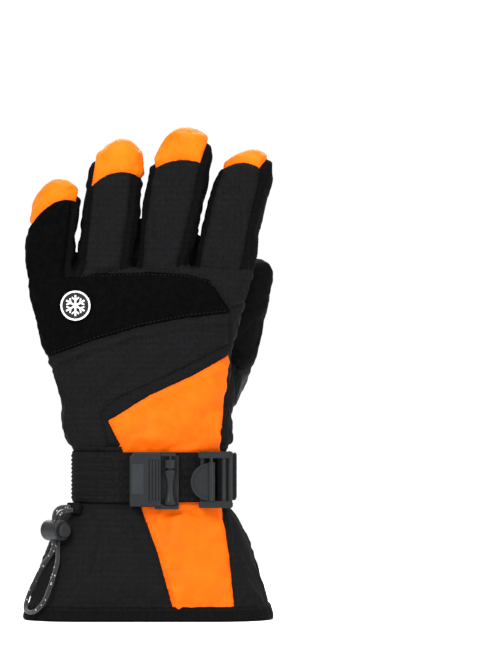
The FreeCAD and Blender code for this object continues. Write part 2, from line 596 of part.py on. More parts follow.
# control points of the cord: out of its tab, through the lock, round the loop and back
CORD = [
    (-46.45, -24.35, 67.6), (-55.6, -31.35, 69.5), (-55.6, -31.35, 52.0), (-55.6, -31.35, 42.0),
    (-62.0, -25.5, 34.0), (-67.2, -22.6, 24.0), (-71.8, -22.8, 14.0), (-73.6, -28.5, 5.5),
    (-67.0, -39.4, 4.8), (-60.6, -41.6, 12.0), (-55.8, -38.6, 26.0), (-53.2, -35.6, 35.5),
    (-53.4, -29.55, 42.5), (-53.4, -29.55, 54.0), (-53.4, -29.55, 66.3), (-44.5, -26.7, 66.0),
]
cord_curve = Part.BSplineCurve()
cord_curve.buildFromPoles([Vector(*p) for p in CORD], False, 2)
spine = Part.Wire(cord_curve.toShape())
section = Part.Wire(Part.makeCircle(CORD_D / 2, cord_curve.value(0), cord_curve.tangent(0)[0]))
export("elastic_cord", spine.makePipeShell([section], True, False, 1))

# tab of webbing, sewn on just below the strap, that holds both ends of the cord
tab_block = soften(Part.makeBox(3.6, 9.0, 6.6, Vector(0, -4.5, 0)), 0.9, Vector(0, 0, 1))
tab_block.rotate(Vector(0, 0, 0), Vector(0, 0, 1), 220)
tab_block.translate(Vector(-42.3, -22.9, 63.8))
export("leash_tab", tab_block)
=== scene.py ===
import functools
import math

import bpy
import numpy as np
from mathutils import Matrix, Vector, kdtree, noise
from mathutils.bvhtree import BVHTree


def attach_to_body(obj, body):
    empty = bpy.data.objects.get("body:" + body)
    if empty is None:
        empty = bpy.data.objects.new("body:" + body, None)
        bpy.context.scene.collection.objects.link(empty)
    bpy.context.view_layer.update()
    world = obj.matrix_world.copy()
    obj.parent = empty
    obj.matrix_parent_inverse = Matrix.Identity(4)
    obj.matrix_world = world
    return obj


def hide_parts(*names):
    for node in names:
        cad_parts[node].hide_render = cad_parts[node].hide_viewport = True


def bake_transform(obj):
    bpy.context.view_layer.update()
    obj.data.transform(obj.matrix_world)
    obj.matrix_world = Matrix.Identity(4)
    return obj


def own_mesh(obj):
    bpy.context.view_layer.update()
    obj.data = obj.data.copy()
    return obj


# Looks of the ski glove. Shapes are worked out in millimetres and become metres in make_object.
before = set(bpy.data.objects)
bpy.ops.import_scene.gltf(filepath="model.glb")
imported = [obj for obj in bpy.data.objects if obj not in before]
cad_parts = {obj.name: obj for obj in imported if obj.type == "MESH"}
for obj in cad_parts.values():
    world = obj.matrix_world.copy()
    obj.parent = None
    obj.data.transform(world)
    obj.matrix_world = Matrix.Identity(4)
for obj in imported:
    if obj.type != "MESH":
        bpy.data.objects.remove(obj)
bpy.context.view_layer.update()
MM = 0.001
BADGE_X, BADGE_Z = -43.0, 188.5         # middle of the badge, in mm
BADGE_TILT = 0.0664                     # how far the badge's face leans back per mm up

# ---------------- camera, light and floor
scene = bpy.context.scene
camera = bpy.data.objects.new("camera", bpy.data.cameras.new("camera"))
scene.collection.objects.link(camera)
scene.camera = camera
DISTANCE = 3.2
GLOVE_FRONT = 0.025                     # from the glove's middle plane to its back's face
VIEW_HEIGHT = 0.4014                    # what the frame takes in at the glove's back
SENSOR = 24.0
VIEW_CENTRE = Vector((0.0618, 0.0, 0.1713))
LIT_POINT = Vector((0, 0, 0.15))
camera.location = VIEW_CENTRE + Vector((0, -DISTANCE, 0))
camera.rotation_euler = (math.pi / 2, 0, 0)
camera.data.sensor_fit = "VERTICAL"
camera.data.sensor_height = SENSOR
camera.data.lens = SENSOR * (DISTANCE - GLOVE_FRONT) / VIEW_HEIGHT
camera.data.clip_end = 30.0


def area_light(name, place, size, power):
    light = bpy.data.lights.new(name, "AREA")
    light.shape = "RECTANGLE"
    light.size, light.size_y = size
    light.energy = power
    thing = bpy.data.objects.new(name, light)
    thing.location = place
    direction = LIT_POINT - Vector(place)
    thing.rotation_euler = direction.to_track_quat("-Z", "Y").to_euler()
    scene.collection.objects.link(thing)


area_light("key", (-0.9, -1.6, 1.5), (1.2, 1.2), 26)
area_light("fill", (1.5, -1.5, 0.7), (1.4, 1.2), 13)
area_light("top", (0.1, 0.2, 1.9), (1.6, 1.2), 16)
area_light("back", (0.0, 1.8, 1.3), (1.8, 1.0), 14)
world = bpy.data.worlds.new("studio")
scene.world = world
world.use_nodes = True
world.node_tree.nodes["Background"].inputs[0].default_value = (1, 1, 1, 1)
world.node_tree.nodes["Background"].inputs[1].default_value = 0.36


# ---------------- materials
class Shader:
    """A node material in object space, with its colour and bump built up by layers."""

    def __init__(self, name, rough, sheen, specular):
        self.name = name
        self.mat = bpy.data.materials.new(name)
        self.mat.use_nodes = True
        self.tree = self.mat.node_tree
        self.bsdf = self.tree.nodes["Principled BSDF"]
        self.bsdf.inputs["Roughness"].default_value = rough
        self.bsdf.inputs["Specular IOR Level"].default_value = specular
        self.bsdf.inputs["Sheen Weight"].default_value = sheen
        self.bsdf.inputs["Sheen Roughness"].default_value = 0.5
        self.place = self.node("ShaderNodeTexCoord").outputs["Object"]
        self.normal = None

    def node(self, kind, sockets=None, **values):
        """A new node; sockets gives its inputs, each a number or another node's output."""
        made = self.tree.nodes.new(kind)
        for key, value in values.items():
            setattr(made, key, value)
        for key, value in (sockets or {}).items():
            if isinstance(value, bpy.types.NodeSocket):
                self.link(value, made.inputs[key])
            else:
                made.inputs[key].default_value = value
        return made

    def link(self, a, b):
        self.tree.links.new(a, b)

    def noise(self, scale, detail=3.0, rough=0.6, stretch=(1, 1, 1)):
        place = self.node("ShaderNodeMapping", {"Scale": stretch, "Vector": self.place})
        made = self.node("ShaderNodeTexNoise", {"Scale": scale, "Detail": detail,
                                                "Roughness": rough, "Vector": place.outputs[0]})
        return made.outputs["Fac"]

    def cells(self, scale):
        made = self.node("ShaderNodeTexVoronoi", {"Scale": scale, "Vector": self.place})
        return made.outputs["Distance"]

    def waves(self, scale, direction, distort=0.6):
        made = self.node("ShaderNodeTexWave", {"Scale": scale, "Distortion": distort,
                                               "Detail Scale": 3.0, "Vector": self.place},
                         bands_direction=direction)
        return made.outputs["Fac"]

    def maths(self, kind, a, b):
        return self.node("ShaderNodeMath", {0: a, 1: b}, operation=kind).outputs[0]

    def colour(self, value, stops):
        """Base colour, from a ramp of (position, colour) stops over value."""
        made = self.node("ShaderNodeValToRGB", {"Fac": value})
        while len(made.color_ramp.elements) < len(stops):
            made.color_ramp.elements.new(0.5)
        for element, (at, colour) in zip(made.color_ramp.elements, stops):
            element.position = at
            element.color = (*colour, 1)
        self.link(made.outputs["Color"], self.bsdf.inputs["Base Color"])

    def roughness(self, value, low, high):
        made = self.node("ShaderNodeMapRange", {"To Min": low, "To Max": high, "Value": value})
        self.link(made.outputs["Result"], self.bsdf.inputs["Roughness"])

    def bump(self, value, height_mm, strength=1.0):
        """Relief from value, on top of the bumps given before."""
        made = self.node("ShaderNodeBump", {"Strength": strength, "Distance": height_mm * MM,
                                            "Height": value})
        if self.normal is not None:
            self.link(self.normal, made.inputs["Normal"])
        self.normal = made.outputs["Normal"]
        self.link(self.normal, self.bsdf.inputs["Normal"])


def grey(v, tint=(1.0, 1.0, 1.0)):
    return tuple(v * t for t in tint)


def woven(name, low, high, pitch=0.8, tint=(1, 1, 1)):
    """Cloth of crossed threads, made of waves along all three axes so that every side has them."""
    s = Shader(name, 0.85, 0.0, 0.02)
    across, up, deep = [s.waves(50.0 / pitch, axis) for axis in "XZY"]
    threads = s.maths("MULTIPLY", s.maths("ADD", across, deep), up)
    spots = s.noise(900, 4, 0.7, (1, 1, 0.5))
    mixed = s.maths("ADD", s.maths("MULTIPLY", spots, 0.8), s.maths("MULTIPLY", threads, 0.06))
    s.colour(mixed, [(0.25, grey(low, tint)), (0.65, grey(high, tint))])
    s.bump(threads, 0.06, 0.5)
    s.bump(s.noise(160, 3), 0.4, 0.3)
    return s


def mottled(name, rough, shine, spots, colours, bumps, uneven=None, sheen=0.0):
    """Material mottled between two colours by noise, with a list of bumps (height, strength, noise
    values or the size of cells) and, in uneven, the noise scale and the limits of its roughness."""
    s = Shader(name, rough, sheen, shine)
    s.colour(s.noise(*spots), list(zip((0.3, 0.7), colours)))
    if uneven:
        s.roughness(s.noise(uneven[0], 4), *uneven[1:])
    for height, strength, *source in bumps:
        s.bump(s.cells(*source) if len(source) == 1 else s.noise(*source), height, strength)
    return s


def suede(name, low, high):
    return mottled(name, 0.95, 0.01, (260, 6, 0.75), (grey(low), grey(high)),
                   [(0.12, 0.6, 2600, 3, 0.8), (0.8, 0.3, 110, 3)])


def grained(name, low, high, shine=0.035):
    return mottled(name, 0.55, shine, (220, 5, 0.7), (grey(low), grey(high)),
                   [(0.1, 0.5, 1500), (0.6, 0.35, 140, 3)], (350, 0.45, 0.65))


def coated_orange(name, *colours):
    return mottled(name, 0.5, 0.04, (90, 5, 0.6), colours,
                   [(0.06, 0.5, 1900), (0.6, 0.3, 120, 3)], (500, 0.42, 0.62))


def moulded(name, base, rough=(0.38, 0.55)):
    tint = (0.8, 0.95, 1.1)
    colours = grey(base * 0.85, tint), grey(base * 1.15, tint)
    return mottled(name, 0.45, 0.14, (150, 4), colours, [(0.04, 0.5, 2500, 3, 0.7)],
                   (700, *rough))


def fleece(name, low, high):
    return mottled(name, 1.0, 0.1, (500, 5, 0.8), (grey(low), grey(high)),
                   [(0.9, 0.7, 700), (0.4, 0.6, 1800, 3, 0.8)], sheen=0.5)


def cord_sheath():
    s = Shader("cord_elastic", 0.8, 0.2, 0.2)
    s.colour(s.cells(420), [(0.16, grey(0.35)), (0.24, grey(0.006))])
    s.bump(s.waves(500, "Z", 1.0), 0.25, 0.7)
    return s


def badge_rubber():
    """Dark rubber whose raised parts, in front of a slightly tilted plane, are printed white."""
    s = Shader("badge_rubber", 0.7, 0.0, 0.2)
    apart = s.node("ShaderNodeSeparateXYZ", {0: s.place})
    tilt = s.maths("MULTIPLY", apart.outputs[2], BADGE_TILT)
    level = s.maths("SUBTRACT", apart.outputs[1], tilt)
    raised = s.maths("LESS_THAN", level, -0.0234 - BADGE_Z * MM * BADGE_TILT)
    s.colour(s.maths("ADD", raised, s.maths("MULTIPLY", s.noise(300, 4), 0.1)),
             [(0.3, grey(0.004)), (0.7, grey(0.45))])
    s.bump(s.noise(2500, 3, 0.7), 0.04, 0.5)
    return s


BLUISH = (1.0, 1.0, 1.08)
M = {shader.name: shader.mat for shader in (
    woven("woven_charcoal", 0.0030, 0.0062, 0.6, BLUISH),
    woven("woven_trim", 0.0028, 0.0058, 0.5, BLUISH),
    woven("smooth_black", 0.0012, 0.0026, 0.5), suede("suede_black", 0.0007, 0.0018),
    # the thumb's leather, second here, is darker and less shiny than the palm's: its own black,
    # darkened further by painted shade
    grained("palm_leather", 0.0026, 0.0050), grained("thumb_leather", 0.0012, 0.0026, 0.012),
    coated_orange("orange_coated", (0.46, 0.062, 0.001), (0.56, 0.082, 0.0015)),
    coated_orange("orange_tip", (0.46, 0.080, 0.001), (0.56, 0.104, 0.002)),
    fleece("padding_white", 0.5, 0.75), fleece("lining_fleece", 0.012, 0.035),
    woven("binding_tape", 0.0015, 0.0040), woven("elastic_band", 0.02, 0.04),
    woven("webbing", 0.0022, 0.0066), moulded("buckle_plastic", 0.0068),
    moulded("window_plastic", 0.015, (0.2, 0.35)), woven("thread", 0.006, 0.012, 0.3),
    cord_sheath(), badge_rubber(),
    mottled("spring_steel", 0.3, 0.5, (400, 4), (grey(0.4), grey(0.6)), [(0.02, 0.5, 2500, 3)]))}
M["spring_steel"].node_tree.nodes["Principled BSDF"].inputs["Metallic"].default_value = 1.0
# table of the slot each material maps to; two map to another one's slot
SLOT_OF = {name: name for name in M}
SLOT_OF.update(woven_trim="woven_charcoal", thumb_leather="smooth_black")


# ---------------- mesh helpers
def make_object(name, verts, faces, materials, indices=None):
    """Object from millimetre vertices and faces."""
    mesh = bpy.data.meshes.new(name)
    verts = np.asarray(verts, float) * MM
    mesh.from_pydata(verts.tolist(), [], [list(map(int, f)) for f in faces])
    mesh.polygons.foreach_set("use_smooth", [True] * len(mesh.polygons))
    for key in materials:
        mesh.materials.append(M[key])
    if indices is not None:
        mesh.polygons.foreach_set("material_index", [int(i) for i in indices])
    mesh.update()
    thing = bpy.data.objects.new(name, mesh)
    scene.collection.objects.link(thing)
    return thing


def apply_modifiers(thing):
    """Replaces the object's mesh by its mesh with all modifiers applied."""
    shown = thing.evaluated_get(bpy.context.evaluated_depsgraph_get())
    mesh = bpy.data.meshes.new_from_object(shown)
    thing.modifiers.clear()
    thing.data = mesh


def joined(parts):
    """One list of vertices and one of faces from several."""
    verts, faces = [], []
    for part_verts, part_faces in parts:
        base = len(verts)
        verts += list(map(tuple, part_verts))
        faces += [tuple(i + base for i in f) for f in part_faces]
    return verts, faces


def grid_faces(rows, columns, ring_rows=False, ring_columns=False):
    """Quads of a grid of points, whose last row or column may join its first."""
    faces = []
    for i in range(rows if ring_rows else rows - 1):
        for k in range(columns if ring_columns else columns - 1):
            j, m = (i + 1) % rows, (k + 1) % columns
            faces.append((i * columns + k, i * columns + m, j * columns + m, j * columns + k))
    return faces


def corners(thing):
    co = np.empty(len(thing.data.vertices) * 3)
    thing.data.vertices.foreach_get("co", co)
    return co.reshape(-1, 3) / MM


def solid_skin(thing, thickness):
    """Thickens a sheet towards its inside."""
    made = thing.modifiers.new("skin", "SOLIDIFY")
    made.thickness = thickness * MM
    made.offset = -1.0
    made.use_even_offset = False
    apply_modifiers(thing)
    thing.data.polygons.foreach_set("use_smooth", [True] * len(thing.data.polygons))


def round_box(cx, cy, w, d, r, z, n):
    """Evenly spaced points round a rounded rectangle, from the middle of its palm side."""
    w, d = max(w, 2.0), max(d, 2.0)
    r = min(r, w / 2 - 0.2, d / 2 - 0.2)
    hx, hy = w / 2 - r, d / 2 - r
    length = 4 * (hx + hy) + math.tau * r
    quarter = math.pi * r / 2
    # straight runs (start, direction, length), and the centres of the turns between them
    runs = [(0, hy + r, -1, 0, hx), (-hx - r, hy, 0, -1, 2 * hy), (-hx, -hy - r, 1, 0, 2 * hx),
            (hx + r, -hy, 0, 1, 2 * hy), (hx, hy + r, -1, 0, length)]
    turns = [(-hx, hy, 90), (-hx, -hy, 180), (hx, -hy, 270), (hx, hy, 0), None]
    pts = []
    for i in range(n):
        s = length * i / n
        for (x, y, dx, dy, run), turn in zip(runs, turns):
            if s <= run:
                pts.append((cx + x + dx * s, cy + y + dy * s, z))
                break
            s -= run
            if s <= quarter:
                ox, oy, start = turn
                a = math.radians(start) + s / r
                pts.append((cx + ox + r * math.cos(a), cy + oy + r * math.sin(a), z))
                break
            s -= quarter
    return pts


def tube(stations, n=72, closed_low=True, closed_high=True):
    """Mesh through rounded rectangles (z, cx, cy, w, d, r)."""
    verts, faces = [], []
    for z, cx, cy, w, d, r in stations:
        verts += round_box(cx, cy, w, d, r, z, n)
    for k in range(len(stations) - 1):
        for i in range(n):
            j = (i + 1) % n
            faces.append((k * n + j, k * n + i, (k + 1) * n + i, (k + 1) * n + j))
    if closed_low:
        faces.append(tuple(range(n)))
    if closed_high:
        top = (len(stations) - 1) * n
        faces.append(tuple(top + i for i in reversed(range(n))))
    return verts, faces


def between(stations, step=2.5):
    """More stations, on smooth curves through the given ones."""
    rows = np.array(stations, float)
    zs, v = rows[:, 0], rows[:, 1:]
    count = max(int((zs[-1] - zs[0]) / step), 2)
    result = []
    for z in np.linspace(zs[0], zs[-1], count + 1):
        k = int(np.clip(np.searchsorted(zs, z) - 1, 0, len(zs) - 2))
        before, after = max(k - 1, 0), min(k + 2, len(zs) - 1)
        h = zs[k + 1] - zs[k]
        t = (z - zs[k]) / h
        m0 = (v[k + 1] - v[before]) / (zs[k + 1] - zs[before])
        m1 = (v[after] - v[k]) / (zs[after] - zs[k])
        row = ((2 * t ** 3 - 3 * t * t + 1) * v[k] + (t ** 3 - 2 * t * t + t) * h * m0
               + (3 * t * t - 2 * t ** 3) * v[k + 1] + (t ** 3 - t * t) * h * m1)
        result.append((z, *row))
    return result


# ---------------- the glove's outline, in mm
SHELL = [
    (0.0, 0.5, 1.5, 150.0, 95.0, 34.0), (20.0, 0.5, 1.5, 137.0, 88.0, 32.0),
    (40.0, 0.5, 1.5, 124.5, 79.0, 29.0), (58.0, 0.6, 1.5, 110.0, 69.0, 26.0),
    (70.0, 1.8, 1.2, 93.0, 61.6, 23.0), (87.0, 1.8, 1.2, 90.5, 59.6, 22.0),
    (102.0, 1.5, 0.8, 92.0, 57.5, 21.0), (109.0, 1.2, 0.5, 98.0, 57.0, 22.0),
    (118.0, -0.7, 0.0, 102.5, 54.0, 22.0), (130.0, -1.6, -0.8, 101.0, 49.0, 20.0),
    (141.0, -3.0, -1.0, 104.0, 46.5, 19.5), (152.0, -4.2, -1.0, 107.5, 45.0, 19.0),
    (163.0, -6.2, -1.0, 113.0, 43.8, 19.0), (174.0, -5.9, -0.8, 119.8, 43.0, 19.0),
    (190.0, -5.6, -0.3, 127.5, 41.5, 18.5), (201.0, -5.3, -0.3, 133.0, 37.0, 17.0),
    (207.0, -4.9, -0.2, 134.0, 31.0, 15.0), (211.0, -4.6, -0.2, 130.0, 22.0, 10.9),
]
ROOT = [
    (100.0, 24.0, 13.0, 34.0, 28.0, 12.0), (118.0, 31.0, 23.0, 34.0, 33.0, 14.0),
    (136.0, 39.0, 33.5, 34.0, 33.0, 14.0), (158.0, 48.5, 39.0, 34.0, 30.0, 14.0),
]
THUMB = [
    (132.0, 38.0, 38.5, 32.0, 30.0, 14.0), (150.0, 45.5, 39.5, 32.5, 29.5, 14.0),
    (166.0, 51.5, 39.5, 32.5, 29.5, 14.0), (186.0, 57.0, 38.0, 31.5, 28.5, 13.5),
    (203.0, 61.0, 36.0, 29.0, 26.5, 12.5),
]
THUMB_TIP = 217.5
# outline of each finger from its base to its tip: height, left edge, right edge
FINGERS = {
    "index": [
        (203, 27.2, 62.5), (212, 27.7, 65.0), (222, 29.6, 66.6), (233, 32.2, 68.4),
        (249, 36.0, 72.0), (260, 38.6, 74.6), (265, 40.4, 75.6), (270.6, 43.4, 75.8),
        (276, 48.0, 75.0), (281.0, 56.4, 70.6), (283.0, 61.0, 66.5),
    ],
    "middle": [
        (203, -7.6, 25.2), (212, -7.3, 25.6), (222, -6.4, 27.8), (233, -5.1, 30.4),
        (249, -3.1, 34.0), (260, -1.4, 36.6), (265, -0.5, 37.4), (270.6, 0.9, 38.4),
        (276, 3.2, 39.6), (281.4, 5.6, 39.4), (286.8, 8.8, 38.0), (292.2, 13.4, 34.6),
        (296.0, 20.0, 28.0),
    ],
    "ring": [
        (203, -43.6, -9.4), (212, -43.2, -9.0), (222, -42.0, -7.4), (233, -40.8, -6.1),
        (249, -39.0, -4.1), (260, -37.8, -3.0), (265, -37.2, -2.4), (270.6, -36.2, -2.3),
        (276, -33.4, -2.6), (281.4, -29.6, -4.2), (286.8, -23.6, -8.6), (289.6, -18.0, -13.0),
    ],
    "pinky": [
        (199, -70.5, -46.2), (206, -72.6, -45.9), (214, -73.8, -45.2), (222, -74.2, -44.2),
        (233, -72.6, -42.8), (249, -69.4, -41.0), (254.4, -67.2, -41.0), (259.8, -63.6, -43.0),
        (263.5, -59.6, -47.0), (265.6, -55.5, -51.0),
    ],
}
# tilt of each finger away from its neighbours while the skin is made, mm sideways per mm up
SPREAD = {"index": 0.11, "middle": 0.03, "ring": -0.05, "pinky": -0.13}
SPREAD_FROM = 207.0
# the upper edge of each fingertip's cap seam: three points (x, z)
CAP_SEAM = {
    "index": [(45.0, 271.8), (55.2, 275.4), (68.4, 271.2)],
    "middle": [(4.8, 272.4), (20.4, 276.3), (31.8, 274.8)],
    "ring": [(-34.2, 261.0), (-21.6, 268.2), (-7.2, 267.6)],
    "pinky": [(-68.4, 241.2), (-52.2, 252.0), (-44.4, 252.0)],
}
# from a finger's left and right edges to its back panel
SEAM_IN = {"index": (2.4, 8.0), "middle": (2.6, 7.0), "ring": (4.2, 6.6), "pinky": (0.6, 4.0)}
# the sides of each cap: x at the reference height and its change per mm up, left then right
CAP_SIDES = {
    "index": (271.0, (41.0, 0.0), (67.2, 0.85)), "middle": (272.0, (3.9, -0.2), (31.4, 0.36)),
    "ring": (262.0, (-34.6, 0.16), (5.0, 0.0)), "pinky": (250.0, (-90.0, 0.0), (-42.4, 0.1)),
}
SEAM_PALM = 5.5
CROTCH = [(-80, 203.0), (-44.4, 206.8), (-26, 208.6), (-8.4, 212.0), (26.1, 213.4), (46, 211.0),
          (70, 210.0)]
GAP = 0.35                              # that a finger stands back from its edges


def edges_at(name, z):
    rows = np.array(FINGERS[name], float)
    return np.interp(z, rows[:, 0], rows[:, 1]), np.interp(z, rows[:, 0], rows[:, 2])


def domed(rows, tip, ease=2.2):
    z, cx, cy, w, d, r = rows[-1]
    zb, cxb, cyb = rows[-2][:3]
    result = list(rows)
    for t in (0.25, 0.45, 0.62, 0.76, 0.87, 0.95, 1.0):
        f = max((1 - t ** ease) ** (1 / ease), 0.12)
        h = (tip - z) * t
        result.append((z + h, cx + (cx - cxb) / (z - zb) * h, cy + (cy - cyb) / (z - zb) * h,
                       w * f, d * f, r * f))
    return result


def finger_rows(name, inset=0.0, tip_drop=0.0, spread=False):
    """Rounded rectangles up a finger; the tip is a dome."""
    outline = FINGERS[name]
    tip = outline[-1][0]
    shoulder = tip - 17.0
    rows = []
    for z, left, right in outline:
        u = min(max((z - shoulder) / (tip + 0.8 - shoulder), 0.0), 1.0)
        width = max(right - left - 2 * inset, 2.5)
        depth = 30.5 * (1 - u ** 2.4) ** (1 / 2.4) - 2 * inset
        depth = max(depth, 4.0)
        lean = SPREAD[name] * max(z - SPREAD_FROM, 0.0) if spread else 0.0
        place = shoulder + (z - shoulder) * (tip - tip_drop - shoulder) / (tip - shoulder)
        rows.append((place if z > shoulder else z, (left + right) / 2 + lean, 0.0, width, depth,
                     0.47 * min(width, depth)))
    return between(rows, 2.0)


# ---------------- which panel a point lies on
KNUCKLE_TOP = [(-90, 207.6), (-44.4, 207.6), (-1.8, 209.4), (22.8, 208.2), (37.2, 204.6),
               (41.4, 198.6), (49.8, 186.6), (90, 186.6)]
KNUCKLE_LOW = [(-90, 148.0), (-60, 157.5), (-33.0, 167.4), (-4.8, 175.8), (22.8, 181.2),
               (50.4, 184.2), (90, 186.0)]
SIDE = [(0, 47.5), (44.2, 48.0), (70, 45.4), (104.0, 44.2), (114.6, 45.6), (136.8, 48.6),
        (158.7, 49.8), (184.2, 50.4), (240, 52)]
TRIM = [(-28.2, 124.2), (-17.4, 133.2), (11.4, 146.4), (49.8, 165.6)]
TRIM_LEFT = [(-5, 2.0), (40.8, -1.4), (70.2, -12.2), (104, -23.2), (124.2, -28.2)]
ORANGE = [(-23.4, 119.4), (0.6, 134.4), (28.2, 147.0), (49.8, 158.7)]
ORANGE_LEFT = [(-5, 19.5), (40.8, 6.6), (70.2, -4.2), (104, -15.4), (119.4, -23.4)]
ORANGE_RIGHT = [(-5, 54.0), (40.8, 49.8), (61.2, 46.4), (104, 44.2), (158.7, 49.8)]
PALM_STITCH = 193.0
WRIST = 104.0
GAPS = [("pinky", "ring", -44.5, -39.2), ("ring", "middle", -8.4, -1.9),
        ("middle", "index", 26.35, 38.4)]
# the panels and their materials
PANELS = {
    "cuff_back": "woven_charcoal", "cuff_palm": "smooth_black", "gauntlet_panel": "orange_coated",
    "gauntlet_trim": "woven_trim", "mid_panel": "woven_charcoal", "knuckle_panel": "suede_black",
    "finger_base_band": "woven_charcoal", "radial_side_panel": "woven_charcoal",
    "palm_lower_panel": "palm_leather", "palm_upper_panel": "palm_leather",
    # the thumb's back panel takes the dark thumb leather, whose colour carries painted shade
    "thumb_gusset": "palm_leather", "thumb_back_panel": "thumb_leather",
    "thumb_palm_panel": "palm_leather",
}
for finger in FINGERS:
    PANELS[finger + "_cap"] = "orange_tip"
    PANELS[finger + "_back_panel"] = "woven_charcoal"
    PANELS[finger + "_palm_panel"] = "palm_leather"
    PANELS[finger + "_side_walls"] = "smooth_black"
PANELS["pinky_back_panel"] = "suede_black"
NUMBER = {name: i for i, name in enumerate(PANELS)}


def line(points, at):
    return np.interp(at, [p[0] for p in points], [p[1] for p in points])


def cap_line(name, x):
    (x0, z0), (x1, z1), (x2, z2) = CAP_SEAM[name]
    a = (x - x1) * (x - x2) / ((x0 - x1) * (x0 - x2)) * z0
    b = (x - x0) * (x - x2) / ((x1 - x0) * (x1 - x2)) * z1
    return a + b + (x - x0) * (x - x1) / ((x2 - x0) * (x2 - x1)) * z2


def thumb_line(z):
    zs = [r[0] for r in THUMB]
    return (np.interp(z, zs, [r[1] for r in THUMB]), np.interp(z, zs, [r[2] for r in THUMB]))


def flat_palm_y(z):
    """Palm face of the hand without the thumb's root."""
    return np.interp(z, [r[0] for r in SHELL], [r[2] + r[4] / 2 for r in SHELL])


def gap_at(gap, z, spread=False):
    """Where a gap between two fingers lies at height z."""
    low, high, at_210, at_262 = gap
    lean = (SPREAD[low] + SPREAD[high]) / 2 * np.maximum(z - SPREAD_FROM, 0.0) if spread else 0.0
    return at_210 + (at_262 - at_210) * (z - 210) / 52 + lean


def thumb_front(z):
    """Depth that lies between the palm and the thumb standing off it."""
    return np.interp(z, [147, 163, 190, 201, 207], [23.4, 22.4, 21.9, 19.8, 17.6])


def unspread(p):
    """Brings the fingers back together, from the way they stand while the skin is made."""
    x, z = p[:, 0], p[:, 2]
    shift = np.full(len(p), SPREAD["pinky"])
    for gap in GAPS:
        shift[x > gap_at(gap, z, True)] = SPREAD[gap[1]]
    is_thumb = (p[:, 1] > thumb_front(z)) & (z < 225)
    result = p.copy()
    result[:, 0] -= np.where(is_thumb, 0.0, shift * np.maximum(z - SPREAD_FROM, 0.0))
    return result


def label(p):
    """Number of the panel at each point of the glove before it is puffed."""
    x, y, z = p[:, 0], p[:, 1], p[:, 2]
    out = np.full(len(p), NUMBER["mid_panel"])
    back = y < 0
    low = z < WRIST
    out[back & low] = NUMBER["cuff_back"]
    out[~back & low] = NUMBER["cuff_palm"]
    hand = ~low
    out[hand & ~back] = NUMBER["palm_lower_panel"]
    out[hand & ~back & (z > PALM_STITCH)] = NUMBER["palm_upper_panel"]
    side = line(SIDE, z)
    knuckle_low, knuckle_top = line(KNUCKLE_LOW, x), line(KNUCKLE_TOP, x)
    b = hand & back
    out[b & (z > knuckle_low)] = NUMBER["knuckle_panel"]
    out[b & (z > knuckle_top)] = NUMBER["finger_base_band"]
    trim = (z < line(TRIM, x)) & (x > line(TRIM_LEFT, z)) & (x < side + 0.4)
    out[b & trim] = NUMBER["gauntlet_trim"]
    orange = (z < line(ORANGE, x)) & (x > line(ORANGE_LEFT, z)) & (x < line(ORANGE_RIGHT, z))
    out[back & orange] = NUMBER["gauntlet_panel"]
    out[b & (x > side) & (z < 186.6 + (x - 49.8) * 0.43)] = NUMBER["radial_side_panel"]
    # root of the thumb, a keyhole-shaped panel round its bulge
    gusset = (z > WRIST) & (z < 162) & (y > flat_palm_y(z) + 0.9)
    out[gusset] = NUMBER["thumb_gusset"]
    tx, ty = thumb_line(z)
    thumb = (z > 147 + 0.25 * (x - tx)) & (y > thumb_front(z)) & (np.abs(x - tx) < 24)
    out[thumb & (y < ty)] = NUMBER["thumb_back_panel"]
    out[thumb & (y >= ty)] = NUMBER["thumb_palm_panel"]
    # fingers
    above = (z > line(CROTCH, x)) & ~thumb & (z > 200)
    owner = np.zeros(len(p), int)
    for i, gap in enumerate(GAPS):
        owner[x > gap_at(gap, z)] = i + 1
    for i, name in enumerate(("pinky", "ring", "middle", "index")):
        mine = above & (owner == i)
        left, right = edges_at(name, z)
        tip = FINGERS[name][-1][0]
        centre = (left + right) / 2
        half = (right - left) / 2
        out[mine] = NUMBER[name + "_side_walls"]
        in_left, in_right = SEAM_IN[name]
        panel = mine & (y < 1) & (x > left + in_left) & (x < right - in_right)
        out[panel] = NUMBER[name + "_back_panel"]
        at, low_side, high_side = CAP_SIDES[name]
        cap = mine & (y < 6) & (x > low_side[0] + low_side[1] * (z - at))
        cap &= x < high_side[0] + high_side[1] * (z - at)
        out[cap & (z > cap_line(name, x))] = NUMBER[name + "_cap"]
        arch = tip - 14.0 - 7.0 * ((x - centre) / half) ** 2
        palm = mine & (y > 1) & (np.abs(x - centre) < half - SEAM_PALM) & (z < arch)
        out[palm] = NUMBER[name + "_palm_panel"]
    return out


# ---------------- the outside, as one puffed skin
def skin_mesh():
    parts = [
        tube(between(SHELL), 120),
        tube(between(ROOT), 60),
        tube(between(THUMB[:-1]) + domed(THUMB[-2:], THUMB_TIP)[1:], 60),
    ]
    for name in FINGERS:
        parts.append(tube(finger_rows(name, GAP, spread=True), 60))
    thing = make_object("skin", *joined(parts), [])
    remesh = thing.modifiers.new("remesh", "REMESH")
    remesh.mode = "VOXEL"
    remesh.voxel_size = VOXEL * MM
    smooth = thing.modifiers.new("smooth", "SMOOTH")
    smooth.factor = 0.5
    smooth.iterations = 7
    apply_modifiers(thing)
    return thing


VOXEL = 2.1
PUFF_FRAMES = 20
MOST_OUT, MOST_IN = 2.2, 0.5            # how far the puff may move a point, in mm
skin = skin_mesh()

